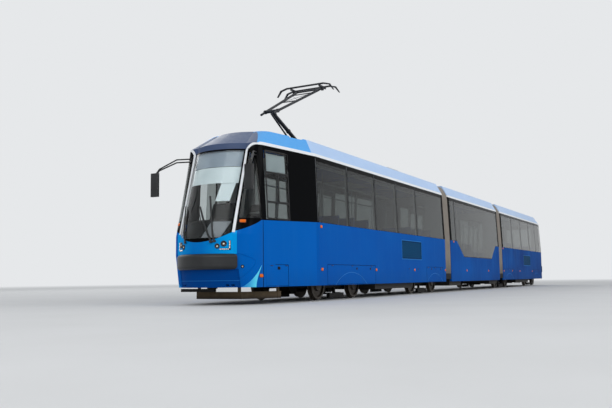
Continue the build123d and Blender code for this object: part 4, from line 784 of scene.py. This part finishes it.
# Passenger seats and cab wall: moulded polypropylene shells in blue with a fine grain, worn paler in
# patches. The cab's rear wall is pale laminate.
seat_shell = grained_material("blue_polypropylene_seats", "#1F4488", "#2A5299", 0.3, 0.002, 0.45, 0.0002)
dress(["front_seats", "middle_seats", "rear_seats"], seat_shell)
laminate = grained_material("pale_laminate_panel", "#B4B7B6", "#C6C9C8", 0.5, 0.003, 0.5)
dress(["cab_wall"], laminate)

# Grab poles and ceiling lights: stainless tubes from floor to ceiling under two long hand rails, and two
# opal light strips along each section's ceiling.
stainless = grained_material("brushed_stainless_tube", "#C9CBCC", "#B2B5B7", 0.1, 0.002, 0.28, 0.00005,
                             metallic=1.0)
opal = grained_material("opal_light_diffuser", "#F1F3F3", "#E6EAEB", 0.5, 0.004, 0.4)


def round_tube(path, radius, sides=12):
    """A round tube along a path in an upright plane; each ring lies square to the path's own direction."""
    run = unit(np.gradient(path, axis=0))
    across = unit(np.cross(run, sideways if np.abs(run[:, 1]).max() < 0.9 else lengthways))
    return swept(path, across, np.cross(run, across), 2 * radius, 2 * radius, sides, power=2)


pole_rows = [
    # section, first and last back, backs of the poles, floor
    ("front", 2.9, 11.3, (3.3, 5.0, 6.4, 8.4, 9.9, 11.1), 0.94),
    ("middle", 13.9, 17.4, (14.1, 15.1, 16.5, 17.3), 0.40),
    ("rear", 19.8, 27.0, (20.1, 21.7, 22.6, 24.5, 26.2), 0.94),
]
pole_halves, light_halves = (0.16, -0.62), (0.62, -0.62)
pole_top, rail_height, light_height = 3.115, 2.72, 3.108
for section, start, end, backs, base in pole_rows:
    tubes = [round_tube(from_back(back, half, (base, pole_top)), 0.017)
             for back in backs for half in pole_halves]
    tubes += [round_tube(from_back((start, end), half, rail_height), 0.015) for half in pole_halves]
    add_piece(section + "_grab_poles", section + "_car", stainless, tubes)
    strips = [swept(from_back((start, end), half, light_height), sideways, upwards, 0.16, 0.03)
              for half in light_halves]
    add_piece(section + "_ceiling_lights", section + "_car", opal, strips)

# Doors: blue leaves in black rubber finger seals, each opening with a push button in a green ring
# beside it.
seal_rubber = grained_material("door_seal_rubber", "#101112", "#202123", 0.1, 0.002, 0.7, 0.0003)
button_green = grained_material("green_button_ring", "#3E9A4F", "#4FB061", 0.02, 0.002, 0.35)
button_outline = [(0, -0.004), (0.034, -0.004), (0.034, 0.006), (0.028, 0.010), (0.024, 0.005), (0, 0.005)]
door_rows = [
    # section, backs of the seals, backs of the buttons
    ("front", (1.345, 2.215, 6.655, 7.420, 8.185), (2.330, 6.560, 8.240)),
    ("middle", (14.735, 15.500, 16.265), (14.670, 16.330)),
    ("rear", (22.775, 23.540, 24.305), (22.710, 24.370)),
]
for section, backs, button_backs in door_rows:
    seals = []
    for back in backs:
        line, out = on_skin(section + "_doors", from_back(back, -past_side, np.linspace(0.42, 2.97, 10)))
        seals.append(swept(line, lengthways, out, 0.030, 0.010))
    add_piece(section + "_door_seals", section + "_car", seal_rubber, seals)
    middles, outs = on_skin(section + "_body", from_back(button_backs, -past_side, 1.35))
    add_piece(section + "_door_buttons", section + "_car", button_green,
              [turned(button_outline, m, o) for m, o in zip(middles, outs)])

# Roof equipment: enamelled steel covers with louvred sides and fans in their tops, and the cable
# conduits that run beside them in clamps.
unit_enamel = grained_material("grey_roof_enamel", "#A4A9AE", "#BCC1C5", 0.5, 0.01, 0.5, 0.0005)
dress(["front_roof_units", "middle_roof_units", "rear_roof_units"], unit_enamel)
louvre_steel = grained_material("louvre_steel", "#3C4046", "#54585E", 0.2, 0.004, 0.5, 0.0003)
fan_outline = [(0.0, 0.0), (0.05, 0.0), (0.05, 0.012), (0.07, 0.012), (0.07, 0.003), (0.20, 0.003),
               (0.20, 0.014), (0.235, 0.014), (0.245, -0.002), (0.0, -0.002)]
slat_pitch, fan_pitch, clamp_pitch = 0.045, 0.7, 0.9
fan_bars, fan_bar_reach = 6, 0.21
conduit_height = 3.200
cover_rows = [
    # section, (back of the front end, back of the rear end, half width, top) of each cover, conduits' ends
    ("front", [(5.7, 7.5, 0.62, 3.480), (8.1, 9.0, 0.70, 3.655), (9.5, 11.2, 0.64, 3.470)], 5.2, 11.3),
    ("middle", [(12.9, 14.9, 0.64, 3.480), (16.2, 17.4, 0.70, 3.640)], 12.5, 18.5),
    ("rear", [(20.2, 22.3, 0.64, 3.480), (23.2, 24.4, 0.70, 3.640), (25.1, 26.6, 0.60, 3.470)], 19.7, 26.9),
]
for section, covers, first_back, last_back in cover_rows:
    slats, fans = [], []
    for start, end, half, top in covers:
        for side in (1, -1):
            for height in np.arange(3.26, top - 0.06, slat_pitch):
                slats.append(swept(from_back((start + 0.12, end - 0.12), side * half, height),
                                   (0, side * 0.8, 0.6), (0, -side * 0.6, 0.8), 0.026, 0.006))
        for middle in np.arange(start + 0.45, end - 0.3, fan_pitch):
            centre = from_back(middle, 0, top - 0.001)
            fans.append(turned(fan_outline, centre, upwards, 36))
            hub = centre + (0, 0, 0.009)
            for turn in np.pi / fan_bars * np.arange(fan_bars):
                bar = np.array((math.cos(turn), math.sin(turn), 0.0))
                fans.append(swept([hub - fan_bar_reach * bar, hub + fan_bar_reach * bar],
                                  (-math.sin(turn), math.cos(turn), 0.0), upwards, 0.008, 0.006, sides=8))
    runs = []
    for half in (0.80, 0.84, -0.80):
        backs = np.linspace(first_back, last_back, 40)
        runs.append(round_tube(from_back(backs, half + 0.004 * np.sin(7 * backs), conduit_height), 0.016, 10))
        for back in np.arange(first_back + 0.3, last_back, clamp_pitch):
            clamp = from_back(back, (half - 0.03, half + 0.03), conduit_height)
            runs.append(swept(clamp, lengthways, upwards, 0.03, 0.040))
    for label, finish, grids in (("_cover_louvres", louvre_steel, slats), ("_fan_rings", louvre_steel, fans),
                                 ("_conduits", black_plastic, runs)):
        add_piece(section + label, section + "_car", finish, grids)

# Bellows: coated polyester cloth folded into pleats and clamped to the end walls, dusty grey-beige over
# a black rubber foot.
bellows_cloth, add, place, back, half, height = body_material("coated_bellows_cloth")
dust = add("TexNoise", {"Vector": place, "Scale": 5.0, "Detail": 6.0})
weave = add("TexNoise", {"Vector": place, "Scale": 500.0, "Detail": 1.0})
foot_dark = add("MapRange", (height, 1.1, 0.62, 0.0, 0.5))
colour = layered(add, "#7D766F", (dust, "#978E84"), (foot_dark, "#3E3A35"),
                 (between(add, (height, None, 0.60)), "#0E0E0F"))
surface(add, colour, 0.82, weave, 0.0006, sheen_weight=0.2)
pleats, pleat_depth = 11, 0.050


def hoop_line(inset):
    """The hoop's outline from its left foot over the roof to its right foot, pulled in by an inset: straight
    runs between the section's corners, sampled evenly and rounded by a moving average."""
    corners = np.array([(1.180, 0.420), (1.180, 1.700), (1.120, 3.180), (0.930, 3.500)])
    corners = corners - inset * np.array([(1, 0), (1, 0), (0.9, 0.3), (0.6, 1)])
    corners = np.concatenate([corners, corners[::-1] * (-1, 1)])
    length = np.concatenate([[0], np.cumsum(np.linalg.norm(np.diff(corners, axis=0), axis=1))])
    at = np.linspace(0, length[-1], 150)
    line = np.stack([np.interp(at, length, corners[:, k]) for k in (0, 1)], axis=-1)
    for _ in range(6):
        line[1:-1] = (line[:-2] + 2 * line[1:-1] + line[2:]) / 4
    return line


for name, start, end, body_a, body_b in (("bellows_1", 11.600, 12.200, "front_car", "middle_car"),
                                         ("bellows_2", 18.800, 19.400, "middle_car", "rear_car")):
    # A pleat's depth follows a rounded sawtooth of the distance along the tram.
    share = np.linspace(0, 1, pleats * 10 + 1)
    wave = (0.5 - 0.5 * np.cos(2 * np.pi * pleats * share)) ** 0.7
    outer, inner = hoop_line(0.0), hoop_line(1.0)
    hoops = outer[None] + (pleat_depth * wave)[:, None, None] * (inner - outer)[None]
    along = np.broadcast_to((nose_x - start - share * (end - start))[:, None, None], hoops.shape[:2] + (1,))
    mesh = grid_mesh("pleated_" + name, [np.concatenate([along, hoops], axis=-1)])
    mesh.shade_smooth()
    mesh.materials.append(bellows_cloth)
    piece = new_object("pleated_" + name, mesh)
    wall = piece.modifiers.new("cloth_thickness", "SOLIDIFY")
    wall.thickness = 0.006
    wall.offset = -1
    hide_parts(name)
    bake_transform(piece)

# Pantograph: dark painted steel tubes with graphite contact strips, ribbed insulators, lift springs
# along the base, and cross tubes and wires between the upper tubes.
pantograph_paint, add, place, back, half, height = body_material("pantograph_paint_and_graphite")
wear = add("TexNoise", {"Vector": place, "Scale": 30.0, "Detail": 5.0})
colour = layered(add, "#1A1D24", (add("MapRange", (wear, 0.55, 0.75, 0.0, 0.7)), "#3E434D"),
                 (between(add, (height, 5.262, None)), "#2A2A2C"))
surface(add, colour, add("MapRange", (wear, 0.3, 0.7, 0.3, 0.55)), wear, 0.0003, metallic=0.3)
dress(["pantograph_base", "lower_arm", "thrust_rod", "upper_arm", "collector_head"], pantograph_paint)

brown_porcelain = grained_material("glazed_insulator_porcelain", "#5A2E1C", "#6B3A24", 0.1, 0.004, 0.15,
                                   coat_weight=0.8)
shed_outline = [(0.056, 0.012)]
for foot in 0.014 + 0.041 * np.arange(4):
    shed_outline += [(0.060, foot), (0.088, foot + 0.006), (0.090, foot + 0.011), (0.060, foot + 0.030)]
shed_outline += [(0.056, 0.176), (0.056, 0.012)]
add_piece("pantograph_insulators", "front_car", brown_porcelain,
          [turned(shed_outline, from_back(back, half, 3.180), upwards, 28)
           for back in (3.650, 4.850) for half in (0.420, -0.420)])


def coil(start, stop, radius, wire, turns, per_turn=14):
    """A coil spring: a helix about the line from start to stop, with a round wire carried along it."""
    run = unit(stop - start)
    side = unit(np.cross(run, upwards))
    angle = np.linspace(0, 2 * np.pi * turns, turns * per_turn + 1)[:, None]
    spoke = np.cos(angle) * side + np.sin(angle) * np.cross(run, side)
    path = start + (stop - start) * angle / angle[-1] + radius * spoke
    along = unit(np.gradient(path, axis=0))
    return swept(path, spoke, np.cross(along, spoke), wire, wire, 8, power=2)


spring_steel = grained_material("painted_spring_steel", "#2A2E36", "#474C56", 0.05, 0.003, 0.4, metallic=0.7)
spring_halves, spring_height, rod_backs = (0.27, -0.27), 3.470, (3.64, 4.34)
springs = [coil(*from_back((3.72, 4.26), half, spring_height), 0.036, 0.013, 18) for half in spring_halves]
springs += [round_tube(from_back(rod_backs, half, spring_height), 0.010) for half in spring_halves]
springs += [swept(from_back(back, half, (3.400, 3.495)), lengthways, sideways, 0.05, 0.02)
            for half in spring_halves for back in rod_backs]
add_piece("lift_springs", "front_car", spring_steel, springs)

base_at, knee_at, head_at = (np.array(at) for at in ((4.340, 3.640), (2.820, 4.290), (4.600, 5.170)))


def arm_place(share, side):
    """A place on an upper tube: it runs from the knee, 165 mm out, to the head, 330 mm out."""
    back, height = knee_at + share * (head_at - knee_at)
    return from_back(back, side * (0.165 + share * 0.165), height)


low_cross, high_cross = 0.46, 0.84
braces = [round_tube([arm_place(share, 1), arm_place(share, -1)], 0.013) for share in (low_cross, high_cross)]
braces += [round_tube([arm_place(0.02, side), arm_place(0.97, side)], 0.031) for side in (1, -1)]
braces += [round_tube([arm_place(low_cross, side), arm_place(high_cross, -side)], 0.005, 8)
           for side in (1, -1)]
add_piece("upper_arm_braces", "upper_arm", pantograph_paint, braces)
collars = []
for share, radius in ((0.06, 0.054), (0.50, 0.051), (0.92, 0.052)):
    back, height = base_at + share * (knee_at - base_at)
    collars.append(turned([(0.0, -0.030), (radius, -0.030), (radius + 0.006, -0.018), (radius + 0.006, 0.018),
                           (radius, 0.030), (0.0, 0.030)], from_back(back, 0, height), (1.520, 0.0, 0.650)))
add_piece("lower_arm_collars", "lower_arm", pantograph_paint, collars)
graphite = grained_material("graphite_contact_strip", "#26272A", "#35363A", 0.05, 0.003, 0.5, 0.0002)
strip_reach = 0.165
strips = [swept(from_back(back, (-0.515, 0.515), 5.272), lengthways, upwards, 0.050, 0.014, power=8)
          for back in (head_at[0] - strip_reach, head_at[0] + strip_reach)]
add_piece("contact_strips", "collector_head", graphite, strips)
